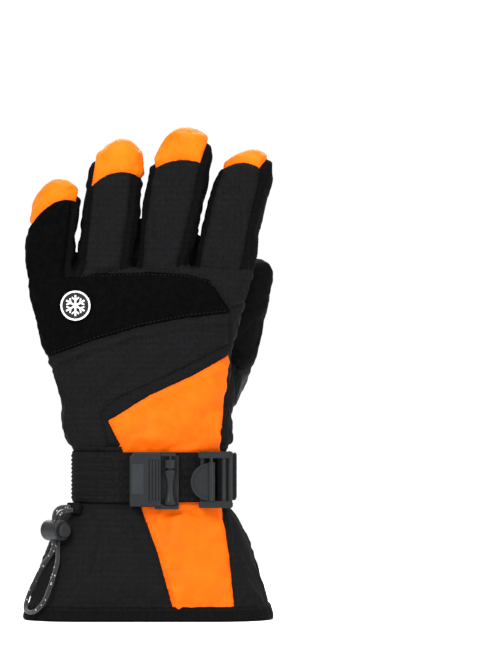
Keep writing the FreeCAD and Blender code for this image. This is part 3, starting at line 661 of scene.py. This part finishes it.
STRAP_LOW, STRAP_HIGH = 70.8, 100.8
NO_SEAM = [{"pinky_back_panel", "knuckle_panel"}]
SOFT_SEAM = [{name + "_back_panel", "finger_base_band"} for name in FINGERS]
SOFT_SEAM += [{name + "_palm_panel", "palm_upper_panel"} for name in FINGERS]
SOFT_SEAM += [{"thumb_back_panel", "thumb_gusset"}, {"thumb_palm_panel", "thumb_gusset"},
              {"cuff_palm", "palm_lower_panel"}, {"cuff_back", "mid_panel"}]
SOFT_SEAM += [{name + "_side_walls", "finger_base_band"} for name in FINGERS]


def joins(pairs, panel_pairs):
    """Which rows of pairs, two panel numbers each, are one of the given pairs of panels."""
    chosen = np.zeros(len(pairs), bool)
    for names in panel_pairs:
        low, high = sorted(NUMBER[name] for name in names)
        chosen |= (pairs[:, 0] == low) & (pairs[:, 1] == high)
    return chosen


def seam_points(p, labels, edges):
    """Middle of every edge whose ends lie on two panels that are sewn together."""
    pairs = np.sort(labels[edges], axis=1)
    differ = (pairs[:, 0] != pairs[:, 1]) & ~joins(pairs, NO_SEAM)
    return p[edges[differ]].mean(1)


def distances(points, cloud):
    tree = kdtree.KDTree(len(cloud))
    for i, p in enumerate(cloud):
        tree.insert(p, i)
    tree.balance()
    return np.array([tree.find(p)[2] for p in points])


def puff(thing, p, labels):
    """Blows the skin up a little between its seams, which hold still, with a cloth simulation."""
    edges = np.array([edge.vertices[:] for edge in thing.data.edges])
    seams = seam_points(p, labels, edges)
    away = distances(p, seams)
    p = corners(thing)
    hold = np.clip(1.15 - away / 3.0, 0.0, 1.0)
    hold[p[:, 2] < 8] = 1.0
    hold[(p[:, 2] > STRAP_LOW - 3) & (p[:, 2] < STRAP_HIGH + 2) & (p[:, 1] < 8)] = 1.0
    group = thing.vertex_groups.new(name="hold")
    for i, weight in enumerate(hold):
        if weight > 0.01:
            group.add([i], float(weight), "REPLACE")
    cloth = thing.modifiers.new("cloth", "CLOTH")
    settings = {"vertex_group_mass": "hold", "quality": 6, "mass": 0.25, "tension_stiffness": 12,
                "compression_stiffness": 12, "bending_stiffness": 0.25, "shrink_min": -0.045,
                "use_pressure": True, "uniform_pressure_force": 3.0}
    for key, value in settings.items():
        setattr(cloth.settings, key, value)
    cloth.settings.effector_weights.gravity = 0.0
    cloth.point_cache.frame_start = 1
    cloth.point_cache.frame_end = PUFF_FRAMES
    for frame_number in range(1, PUFF_FRAMES + 1):
        scene.frame_set(frame_number)
    apply_modifiers(thing)
    scene.frame_set(1)
    moved = corners(thing) - p
    length = np.linalg.norm(moved, axis=1, keepdims=True)
    moved *= np.minimum(1.0, MOST_OUT / np.maximum(length, 1e-6))
    inward = np.minimum((moved * rest_normals).sum(1, keepdims=True) + MOST_IN, 0.0)
    return p + moved - inward * rest_normals


rest = unspread(corners(skin))
first_labels = label(rest)
rest_normals = np.empty(rest.size)
skin.data.vertices.foreach_get("normal", rest_normals)
rest_normals = rest_normals.reshape(-1, 3)
puffed = unspread(puff(skin, rest, first_labels))


def subdivided(thing, p):
    copy = bpy.data.objects.new("copy", thing.data.copy())
    scene.collection.objects.link(copy)
    copy.data.vertices.foreach_set("co", (p * MM).ravel())
    finer = copy.modifiers.new("finer", "SUBSURF")
    finer.levels = 1
    triangles = copy.modifiers.new("triangles", "TRIANGULATE")
    triangles.quad_method = "FIXED"
    apply_modifiers(copy)
    points = corners(copy)
    tris = np.array([f.vertices[:] for f in copy.data.polygons])
    bpy.data.objects.remove(copy)
    return points, tris


rest_fine, triangles = subdivided(skin, rest)
skin_fine, _ = subdivided(skin, puffed)
bpy.data.objects.remove(skin)


def cut_at_seams(rest_points, points, tris):
    """Splits triangles along the borders of the panels and gives each piece its panel."""
    labels = label(rest_points)
    pairs = np.sort(np.vstack([tris[:, [0, 1]], tris[:, [1, 2]], tris[:, [2, 0]]]), axis=1)
    pairs = np.unique(pairs, axis=0)
    pairs = pairs[labels[pairs[:, 0]] != labels[pairs[:, 1]]]
    a, b = rest_points[pairs[:, 0]], rest_points[pairs[:, 1]]
    low, high = np.zeros(len(pairs)), np.ones(len(pairs))
    for _ in range(9):
        mid = (low + high) / 2
        same = label(a + (b - a) * mid[:, None]) == labels[pairs[:, 0]]
        low[same] = mid[same]
        high[~same] = mid[~same]
    t = np.clip((low + high) / 2, 0.01, 0.99)[:, None]
    new_rest = a + (b - a) * t
    new_points = points[pairs[:, 0]] * (1 - t) + points[pairs[:, 1]] * t
    base = len(points)
    crossing = {(int(i), int(j)): base + k for k, (i, j) in enumerate(pairs)}
    rest_out = [rest_points, new_rest]
    out = [points, new_points]
    extra_rest, extra = [], []
    count = base + len(pairs)
    new_tris, new_labels = [], []
    mixed = (labels[tris[:, 0]] != labels[tris[:, 1]]) | (labels[tris[:, 0]] != labels[tris[:, 2]])
    for tri in tris[mixed]:
        la = [int(labels[i]) for i in tri]
        if la[0] != la[1] and la[1] != la[2] and la[0] != la[2]:
            mids = [crossing[tuple(sorted((int(tri[k]), int(tri[(k + 1) % 3]))))] for k in range(3)]
            extra_rest.append(rest_points[tri].mean(0))
            extra.append(points[tri].mean(0))
            for k in range(3):
                new_tris.append((tri[k], mids[k], count))
                new_tris.append((tri[k], count, mids[k - 1]))
                new_labels += [la[k], la[k]]
            count += 1
            continue
        k = 0 if la[1] == la[2] else (1 if la[0] == la[2] else 2)
        i, j, m = int(tri[k]), int(tri[(k + 1) % 3]), int(tri[(k + 2) % 3])
        ij, im = crossing[tuple(sorted((i, j)))], crossing[tuple(sorted((i, m)))]
        new_tris += [(i, ij, im), (ij, j, m), (ij, m, im)]
        new_labels += [la[k], la[(k + 1) % 3], la[(k + 1) % 3]]
    if extra:
        rest_out.append(np.array(extra_rest))
        out.append(np.array(extra))
    all_tris = np.vstack([tris[~mixed], np.array(new_tris)])
    all_labels = np.concatenate([labels[tris[~mixed][:, 0]], new_labels])
    pair_labels = np.sort(labels[pairs], axis=1)
    return np.vstack(rest_out), np.vstack(out), all_tris, all_labels, new_rest, pair_labels


rest_cut, skin_cut, tris_cut, tri_labels, seam_rest, seam_pairs = cut_at_seams(
    rest_fine, skin_fine, triangles)


def vertex_normals(points, tris):
    a, b, c = points[tris[:, 0]], points[tris[:, 1]], points[tris[:, 2]]
    face = np.cross(b - a, c - a)
    total = np.zeros_like(points)
    for k in range(3):
        np.add.at(total, tris[:, k], face)
    return total / np.maximum(np.linalg.norm(total, axis=1, keepdims=True), 1e-9)


hard_seams = seam_rest[~joins(seam_pairs, NO_SEAM + SOFT_SEAM)]
soft_seams = seam_rest[joins(seam_pairs, SOFT_SEAM)]


def swell(p, size, seed=0.0, stretch=(1, 1, 1)):
    """Smooth noise from -1 to 1 with bumps of the given size in mm."""
    q = p * np.array(stretch) / size + seed
    return np.array([noise.noise(v) for v in q])


def bell(distance, width):
    return np.exp(-(distance / width) ** 2)


def relief(p):
    """How far each point of the outside moves out, in mm, for seams, puckers, gathers and folds."""
    x, y, z = p[:, 0], p[:, 1], p[:, 2]
    seam = distances(p, hard_seams)
    soft = distances(p, soft_seams)
    out = -1.15 * bell(seam, 1.5) + 0.45 * bell(seam - 3.6, 2.0)
    out -= 0.45 * bell(soft, 1.8)
    pucker = swell(p, 3.6, 3.0)
    out += 0.26 * pucker * bell(seam, 6.0) * (1 - bell(seam, 1.6))
    out += 0.5 * swell(p, 4.0, 9.0, (1, 1, 0.45)) * bell(soft, 7.0)
    # tucks of the gathered bases of the fingers, round each crotch
    base = bell(z - line(CROTCH, x), 9.0) * (y < 4)
    out += 0.7 * base * swell(p, 5.5, 5.0, (1, 1, 0.6))
    # broad creases of the hand, the fingers and the cuff
    out += 0.55 * swell(p, 17.0, 1.0, (1.0, 1.0, 1.3))
    out += 0.75 * swell(p, 34.0, 2.0, (0.8, 0.8, 1.4)) * (z < 200)
    # gathers at the wrist: upright ones at the palm, drawn in by the band; folds above the strap
    palm = np.clip((y - 3.0) / 11.0, 0, 1)
    gather = bell(z - 97, 17.0)
    ruche = np.sin(x * 0.95 + 2.2 * swell(p, 14.0, 4.0))
    out += palm * gather * (0.95 * ruche + 0.3)
    for height in (84.0, 97.0, 110.0):
        out -= 1.0 * palm * bell(z - height, 1.3)
    above_strap = bell(z - 109, 7.0) * (1 - palm)
    out += 1.2 * above_strap * (0.5 + swell(p, 9.0, 6.0, (0.5, 1, 1.5)))
    under_strap = bell(z - 60, 7.0) * (1 - palm)
    out += 0.9 * under_strap * swell(p, 8.0, 7.0, (1, 1, 0.5))
    # second tuck below the knuckle panel and the welted edge of the trim
    tuck = z - (line(KNUCKLE_LOW, x) - 7.5)
    hand_back = (y < 0) & (x < 51) & (z > WRIST)
    fold = -0.9 * bell(tuck, 1.2) + 0.5 * bell(tuck - 3.5, 2.0)
    out[hand_back] += fold[hand_back]
    out *= np.clip(z / 12.0, 0, 1)
    out = np.maximum(out, -1.7)
    strapped = (z > STRAP_LOW - 1) & (z < STRAP_HIGH + 1) & (y < 6)
    out[strapped] = np.minimum(out[strapped] * 0.3, 0.0) - 0.3
    return out


raised = relief(rest_cut)
shape = skin_cut + vertex_normals(skin_cut, tris_cut) * raised[:, None]
# the knuckle panel lies flat behind the badge
badge_away = np.hypot(rest_cut[:, 0] - BADGE_X, rest_cut[:, 2] - BADGE_Z)
behind = (badge_away < 16) & (rest_cut[:, 1] < 0)
badge_face = -21.7 + BADGE_TILT * (shape[:, 2] - BADGE_Z)
ease = np.clip((16 - badge_away) / 6.5, 0, 1)
ease = ease * ease * (3 - 2 * ease)
shape[behind, 1] += (ease * (badge_face - shape[:, 1]))[behind]

BEND = {
    "index": ((46, 0, 214), (46, 0, 239)), "middle": ((9, 0, 214), (9, 0, 239)),
    "ring": ((-26, 0, 212.5), (-26, 0, 237.5)), "pinky": ((-59, 0, 207.5), (-59, 0, 232.5)),
    "thumb": ((40, 38.5, 152), (40, 38.5, 176)),
}


def attach(thing, node):
    """Hides a CAD node for a piece, which goes on the hand's body; pieces of a finger, and of the
    thumb but its gusset, keep their place with no body.
    """
    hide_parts(node)
    finger = node.split("_")[0]
    if finger in BEND and node != "thumb_gusset":
        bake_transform(thing)
    else:
        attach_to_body(thing, "hand_and_cuff")
    return thing


def two_sided(outer, inner, tris):
    """Closed shell from an outer and an inner skin that share their triangles."""
    used, tris = np.unique(tris, return_inverse=True)
    tris = tris.reshape(-1, 3)
    n = len(used)
    edges = np.vstack([tris[:, [0, 1]], tris[:, [1, 2]], tris[:, [2, 0]]])
    one_way = {(int(a), int(b)) for a, b in edges}
    rim = [(b, a, a + n, b + n) for a, b in one_way if (b, a) not in one_way]
    faces = tris.tolist() + (tris[:, ::-1] + n).tolist() + sorted(rim)
    return np.vstack([outer[used], inner[used]]), faces


surface = BVHTree.FromPolygons([Vector(v) for v in shape], [t.tolist() for t in tris_cut])


def stitch(middle, along, normal, length=1.7, radius=0.2):
    """One stitch: a short thread that dips into the cloth at both ends."""
    along, normal = along.normalized(), normal.normalized()
    side = normal.cross(along).normalized()
    rings, sides = 5, 6
    verts = []
    for k in range(rings):
        t = k / (rings - 1) * 2 - 1
        centre = middle + along * (t * length / 2) + normal * (0.16 - 0.42 * t * t)
        for i in range(sides):
            a = math.tau * i / sides
            v = centre + (normal * math.cos(a) + side * math.sin(a)) * radius
            verts.append(tuple(v))
    return verts, grid_faces(rings, sides, ring_columns=True)


def sewing_row(points, palm=False, pitch=2.5):
    """Stitches along a line of (x, z) points, laid on the skin at the back or the palm."""
    p = np.array(points, float)
    lengths = np.concatenate([[0], np.cumsum(np.linalg.norm(np.diff(p, axis=0), axis=1))])
    row = []
    for s in np.arange(1.0, lengths[-1], pitch):
        places = []
        for u in (s - 0.8, s, s + 0.8):
            x, z = np.interp(u, lengths, p[:, 0]), np.interp(u, lengths, p[:, 1])
            start = Vector((x, 23.4 if palm else -90.0, z))
            hit = surface.ray_cast(start, Vector((0, -1 if palm else 1, 0)))
            places.append(hit)
        if any(h[0] is None for h in places):
            continue
        row.append(stitch(places[1][0], places[2][0] - places[0][0], places[1][1]))
    return row


def shifted(points, dz, low=-68.0, high=48.5):
    xs = np.arange(low, high, 2.0)
    return [(x, line(points, x) + dz) for x in xs]


SEWING = {
    "knuckle_panel": [sewing_row(shifted(KNUCKLE_TOP[:-1], -1.7, -43.0, 40.0)),
                      sewing_row(shifted(KNUCKLE_LOW, 1.7))],
    "mid_panel": [sewing_row(shifted(KNUCKLE_LOW, -9.0, -60.0)),
                  sewing_row([(x + 0.4, z + 1.9) for x, z in TRIM])],
    "gauntlet_trim": [sewing_row([(x, z + 1.6) for x, z in ORANGE])],
    "palm_upper_panel": [sewing_row([(-66, PALM_STITCH + 1.8), (55, PALM_STITCH + 1.8)], True)],
    "palm_lower_panel": [sewing_row([(-65, PALM_STITCH - 1.8), (54, PALM_STITCH - 1.8)], True)],
}


hidden_bottom = (rest_cut[tris_cut][:, :, 2] < 0.6).all(1)
smooth_normals = vertex_normals(skin_cut, tris_cut)
inside = np.minimum(raised, 0.3)[:, None] * smooth_normals + skin_cut - smooth_normals
inside[behind] = (shape - 1.0 * smooth_normals)[behind]
for name, key in PANELS.items():
    mine = (tri_labels == NUMBER[name]) & ~hidden_bottom
    verts, faces = two_sided(shape, inside, tris_cut[mine])
    threads = [thread for row in SEWING.get(name, []) for thread in row]
    cloth_faces = len(faces)
    verts, faces = joined([(verts, faces)] + threads)
    indices = [0] * cloth_faces + [1] * (len(faces) - cloth_faces)
    panel = make_object("look_" + name, verts, faces, [key, "thread"], indices)
    attach(panel, name)

# ---------------- padding and linings inside
def inset_rows(rows, by):
    return [(z, cx, cy, w - 2 * by, d - 2 * by, max(r - by, 2.0)) for z, cx, cy, w, d, r in rows]


def layer(node, rows, thickness, key, keep=None, n=64, top=True):
    """A layer inside the skin: a tube, open below, of which keep chooses the faces."""
    verts, faces = tube(rows, n, False, top)
    verts = np.array(verts)
    if keep is not None:
        faces = [f for f in faces if keep(verts[list(f)].mean(0))]
    used = np.unique([i for f in faces for i in f])
    number = {int(i): k for k, i in enumerate(used)}
    verts = verts[used]
    verts += 0.25 * swell(verts, 5.0, 11.0)[:, None] * np.array([0.5, 1.0, 0.0])
    piece = make_object("look_" + node, verts, [[number[i] for i in f] for f in faces], [key])
    solid_skin(piece, thickness)
    return attach(piece, node)


def upto(rows, low, high):
    return [r for r in between(rows, 3.0) if low <= r[0] <= high]


cuff_rows = [row for row in SHELL if row[0] < 120]
hand_rows = [row for row in SHELL if row[0] > 80][:-1]
for node, rows, inset, low, high, thickness, key, keep, n in (
        ("cuff_lining", cuff_rows, 6.6, 1.0, 101, 0.9, "lining_fleece", None, 120),
        ("cuff_padding", cuff_rows, 4.4, 2.0, 101, 1.9, "padding_white", None, 96),
        ("wrist_elastic", cuff_rows, 3.6, 76, 98, 0.6, "elastic_band", lambda c: c[1] > 6, 96),
        ("hand_insulation_back", hand_rows, 4.6, 102, 202, 2.0, "padding_white",
         lambda c: c[1] < -0.5, 96),
        ("hand_insulation_palm", hand_rows, 4.6, 102, 202, 2.0, "padding_white",
         lambda c: c[1] > 0.5, 96),
        ("hand_lining", hand_rows, 7.2, 101, 196, 0.9, "lining_fleece", None, 96)):
    layer(node, upto(inset_rows(rows, inset), low, high), thickness, key, keep, n, False)
for finger in FINGERS:
    layer(finger + "_insulation", finger_rows(finger, GAP + 4.0, 3.5), 2.0, "padding_white")
    layer(finger + "_lining", finger_rows(finger, GAP + 6.6, 7.0), 0.9, "lining_fleece")
thumb_rows = [(150.0, 45.5, 39.5, 31.5, 28.5, 13.5)] + THUMB[2:-1]
thumb_outer = inset_rows(between(thumb_rows, 5.0) + domed(THUMB[-2:], THUMB_TIP - 5)[1:], 4.8)
thumb_inner = inset_rows(between(thumb_rows, 5.0) + domed(THUMB[-2:], THUMB_TIP - 8)[1:], 7.0)
layer("thumb_insulation", thumb_outer, 2.0, "padding_white")
layer("thumb_lining", thumb_inner, 0.9, "lining_fleece")


# ---------------- hem, strap, tab and cord
RING = 2880                             # points round each outline of the cuff


def outline_at(z):
    rows = np.array(SHELL)
    return [float(np.interp(z, rows[:, 0], rows[:, i])) for i in range(1, 6)]


@functools.lru_cache(maxsize=None)
def ring_points(cx, cy, w, d, r):
    return np.array(round_box(cx, cy, w, d, r, 0, RING))[:, :2]


def ring_point(cx, cy, w, d, r, share):
    """Point and outward direction at a share of the way round a rounded rectangle, from palm."""
    pts = ring_points(cx, cy, w, d, r)
    i = int(round(share * RING)) % RING
    along = pts[(i + 3) % RING] - pts[i - 3]
    out = np.array([-along[1], along[0]]) / np.linalg.norm(along)
    if out @ (pts[i] - np.array([cx, cy])) < 0:
        out = -out
    return pts[i], out


def hem_piece():
    """Tape folded round the raw edge of the cuff, with a row of stitches, outside and inside."""
    profile = [(-6.4, 8.6), (-6.5, 6.0), (-6.4, 2.4), (-6.0, 0.9), (-5.0, 0.15), (-3.0, 0.0),
               (-1.0, 0.05), (0.5, 0.5), (1.0, 1.6), (1.15, 3.6), (1.15, 6.0), (1.0, 7.9),
               (0.65, 8.8), (0.0, 9.0), (-0.5, 8.8)]
    n = 420
    verts = []
    for i in range(n):
        for out, z in profile:
            place, normal = ring_point(*outline_at(z), i / n)
            bump = 0.25 * math.sin(i * 0.9) * (1 if 2 < z < 8 else 0.2)
            bump += 0.35 * noise.noise(Vector((place[0], place[1], z)) / 6.0)
            p = place + normal * (out + bump * (1 if out > 0.6 else 0.3))
            verts.append((p[0], p[1], max(z, 0.0)))
    faces = grid_faces(n, len(profile), ring_rows=True)
    tape_faces = len(faces)
    threads = []
    for i in range(0, 160):
        place, normal = ring_point(*outline_at(7.2), i / 160)
        out = Vector((normal[0], normal[1], 0))
        threads.append(stitch(Vector((place[0], place[1], 7.0)) + out * 1.2,
                              out.cross(Vector((0, 0, 1))), out))
    verts, faces = joined([(verts, faces)] + threads)
    indices = [0] * tape_faces + [1] * (len(faces) - tape_faces)
    return make_object("look_hem_binding", verts, faces, ["binding_tape", "thread"], indices)


attach(hem_piece(), "hem_binding")


def strap_path(offset, start, stop, step):
    """Points and outward directions along the strap's ring from share start to stop."""
    box = (2.1, 1.6, 92.6 + 2 * offset, 63.8 + 2 * offset, 23.0 + offset)
    shape_length = 2 * (box[2] + box[3]) - 8 * box[4] + math.tau * box[4]
    count = int(abs(stop - start) * shape_length / step)
    rows = []
    for i in range(count + 1):
        share = start + (stop - start) * i / count
        place, out = ring_point(*box, share)
        rows.append((place, out, i * step))
    return rows


def woven_band(name, offset, start, stop, low, high, thickness, pattern, keep):
    """Strip of webbing with a woven relief, closed round its edges."""
    rows = [r for r in strap_path(offset, start, stop, 0.75) if keep(r[0])]
    n = int((high - low) / 0.6)
    verts = []
    for side in (1, 0):
        for place, out, s in rows:
            for k in range(n + 1):
                z = low + (high - low) * k / n
                edge = min(k, n - k) / 2.0
                level = thickness * side if edge >= 1 else thickness * (0.25 + 0.5 * side)
                level += (pattern(place[0], s, z) if edge >= 1 else 0) * (1 if side else -0.4)
                p = place + out * level
                verts.append((p[0], p[1], z))
    m = n + 1
    half = len(rows) * m
    side_faces = grid_faces(len(rows), m)
    faces = [f[::-1] for f in side_faces] + [tuple(half + v for v in f) for f in side_faces]
    for i in range(len(rows) - 1):
        for a in (i * m, i * m + n):
            b = a + m
            faces.append((a, half + a, half + b, b) if a == i * m else (a, b, half + b, half + a))
    for i in (0, len(rows) - 1):
        for k in range(n):
            a = i * m + k
            faces.append((a, a + 1, half + a + 1, half + a))
    return make_object(name, verts, faces, ["webbing"])


def knots(x, s, z):
    return 0.3 * math.sin(s * math.tau / 2.6) * math.sin(z * math.tau / 2.2)


def ribs(x, s, z):
    """Ribs along the strap, which near the buckle break up into a grid of knots."""
    along = 0.36 * math.sin(z * math.tau / 2.5)
    t = min(max((x + 22.0) / 4.0, 0.0), 1.0)
    fine = 0.07 * math.sin(s * 4.2) * math.sin(z * 4.2)
    return along * (1 - t) + knots(x, s, z) * t + fine


strap = woven_band("look_strap_webbing", 0.15, 0.0, 1.0, STRAP_LOW, STRAP_HIGH, 1.5, ribs,
                   lambda p: p[1] < 5.0)
attach(strap, "strap_webbing")
loop = woven_band("look_strap_loop", 3.8, 0.5, 1.0, STRAP_LOW + 0.8, STRAP_HIGH - 0.8, 1.4, knots,
                  lambda p: p[1] < 5.0 and p[0] > 41.0)
attach(loop, "strap_loop")


def tab_piece():
    """Folded webbing tab that holds the two ends of the cord."""
    verts = []
    out, side = np.array([-0.766, -0.643]), np.array([0.643, -0.766])
    foot = np.array([-42.3, -22.9])
    n, m = 24, 14
    for i in range(n):
        a = math.tau * i / n
        u = 1.9 + 2.1 * np.sign(math.cos(a)) * abs(math.cos(a)) ** 0.5
        v = 3.3 * np.sign(math.sin(a)) * abs(math.sin(a)) ** 0.5
        for k in range(m + 1):
            s = -4.5 + 9.0 * k / m
            rib = 0.12 * math.sin(k * 2.2) * math.sin(i * 2.0)
            p = foot + out * (u + rib) + side * s
            verts.append((p[0], p[1], 67.1 + v))
    faces = grid_faces(n, m + 1, ring_rows=True)
    faces.append([i * (m + 1) for i in range(n)])
    faces.append([i * (m + 1) + m for i in reversed(range(n))])
    return make_object("look_leash_tab", verts, faces, ["webbing"])


attach(tab_piece(), "leash_tab")

CORD = [
    (-46.45, -24.35, 67.6), (-55.6, -31.35, 69.5), (-55.6, -31.35, 52.0), (-55.6, -31.35, 42.0),
    (-62.0, -25.5, 34.0), (-67.2, -22.6, 24.0), (-71.8, -22.8, 14.0), (-73.6, -28.5, 5.5),
    (-67.0, -39.4, 4.8), (-60.6, -41.6, 12.0), (-55.8, -38.6, 26.0), (-53.2, -35.6, 35.5),
    (-53.4, -29.55, 42.5), (-53.4, -29.55, 54.0), (-53.4, -29.55, 66.3), (-44.5, -26.7, 66.0),
]
cord_data = bpy.data.curves.new("look_elastic_cord", "CURVE")
cord_data.dimensions = "3D"
spline = cord_data.splines.new("NURBS")
spline.points.add(len(CORD) - 1)
for point, place in zip(spline.points, CORD):
    point.co = (place[0] * MM, place[1] * MM, place[2] * MM, 1.0)
spline.order_u = 3
spline.use_endpoint_u = True
spline.resolution_u = 10
cord_data.bevel_depth = 1.3 * MM
cord_data.bevel_resolution = 6
cord_data.use_fill_caps = True
cord_data.materials.append(M["cord_elastic"])
cord = bpy.data.objects.new("look_elastic_cord", cord_data)
scene.collection.objects.link(cord)
attach(cord, "elastic_cord")


def spring_piece():
    """Coil behind the plunger of the cord lock, which is pressed together with it."""
    lock, turn = Vector((-54.5, -30.45, 54.0)), math.radians(40.0)
    across = Vector((math.cos(turn), math.sin(turn), 0))
    along = Vector((-math.sin(turn), math.cos(turn), 0))
    turns, wire_radius, steps, sides = 2.5, 0.28, 100, 10
    verts = []
    for i in range(steps + 1):
        a = math.tau * turns * i / steps
        radial = across * math.cos(a) + Vector((0, 0, math.sin(a)))
        centre = lock + along * (3.45 + 2.1 * i / steps) + radial * 2.9
        for k in range(sides):
            b = math.tau * k / sides
            out = radial * math.cos(b) + along * math.sin(b)
            verts.append(tuple(centre + out * wire_radius))
    faces = grid_faces(steps + 1, sides, ring_columns=True)
    faces.append(list(reversed(range(sides))))
    faces.append([steps * sides + k for k in range(sides)])
    piece = make_object("look_cord_lock_spring", verts, faces, ["spring_steel"])
    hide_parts("cord_lock_spring")
    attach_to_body(piece, "hand_and_cuff")
    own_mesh(piece)
    return piece


spring_piece()

# ---------------- hardware, which keeps its shape
HARD = {node: "buckle_plastic" for node in (
    "buckle_housing", "latch_lever", "ladder_lock_frame", "lift_tab", "cord_lock_body",
    "cord_lock_plunger")}
HARD.update(buckle_window="window_plastic", badge="badge_rubber")
for node, key in HARD.items():
    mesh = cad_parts[node].data
    mesh.materials.clear()
    mesh.materials.append(M[key])

# ---------------- floor and finish
floor_mesh = bpy.data.meshes.new("floor")
floor_corners = [(-1.6, -3, 0), (1.6, -3, 0), (1.6, 0.7, 0), (-1.6, 0.7, 0)]
floor_mesh.from_pydata(floor_corners, [], [(0, 1, 2, 3)])
floor = bpy.data.objects.new("floor", floor_mesh)
floor_paint = Shader("floor_white", 0.9, 0.0, 0.1)
floor_paint.colour(floor_paint.noise(3, 2), [(0.2, grey(0.86)), (0.8, grey(0.9))])
floor_mesh.materials.append(floor_paint.mat)
scene.collection.objects.link(floor)
floor.location.z = -0.0002
scene.view_settings.view_transform = "Standard"
scene.view_settings.exposure = 1.5
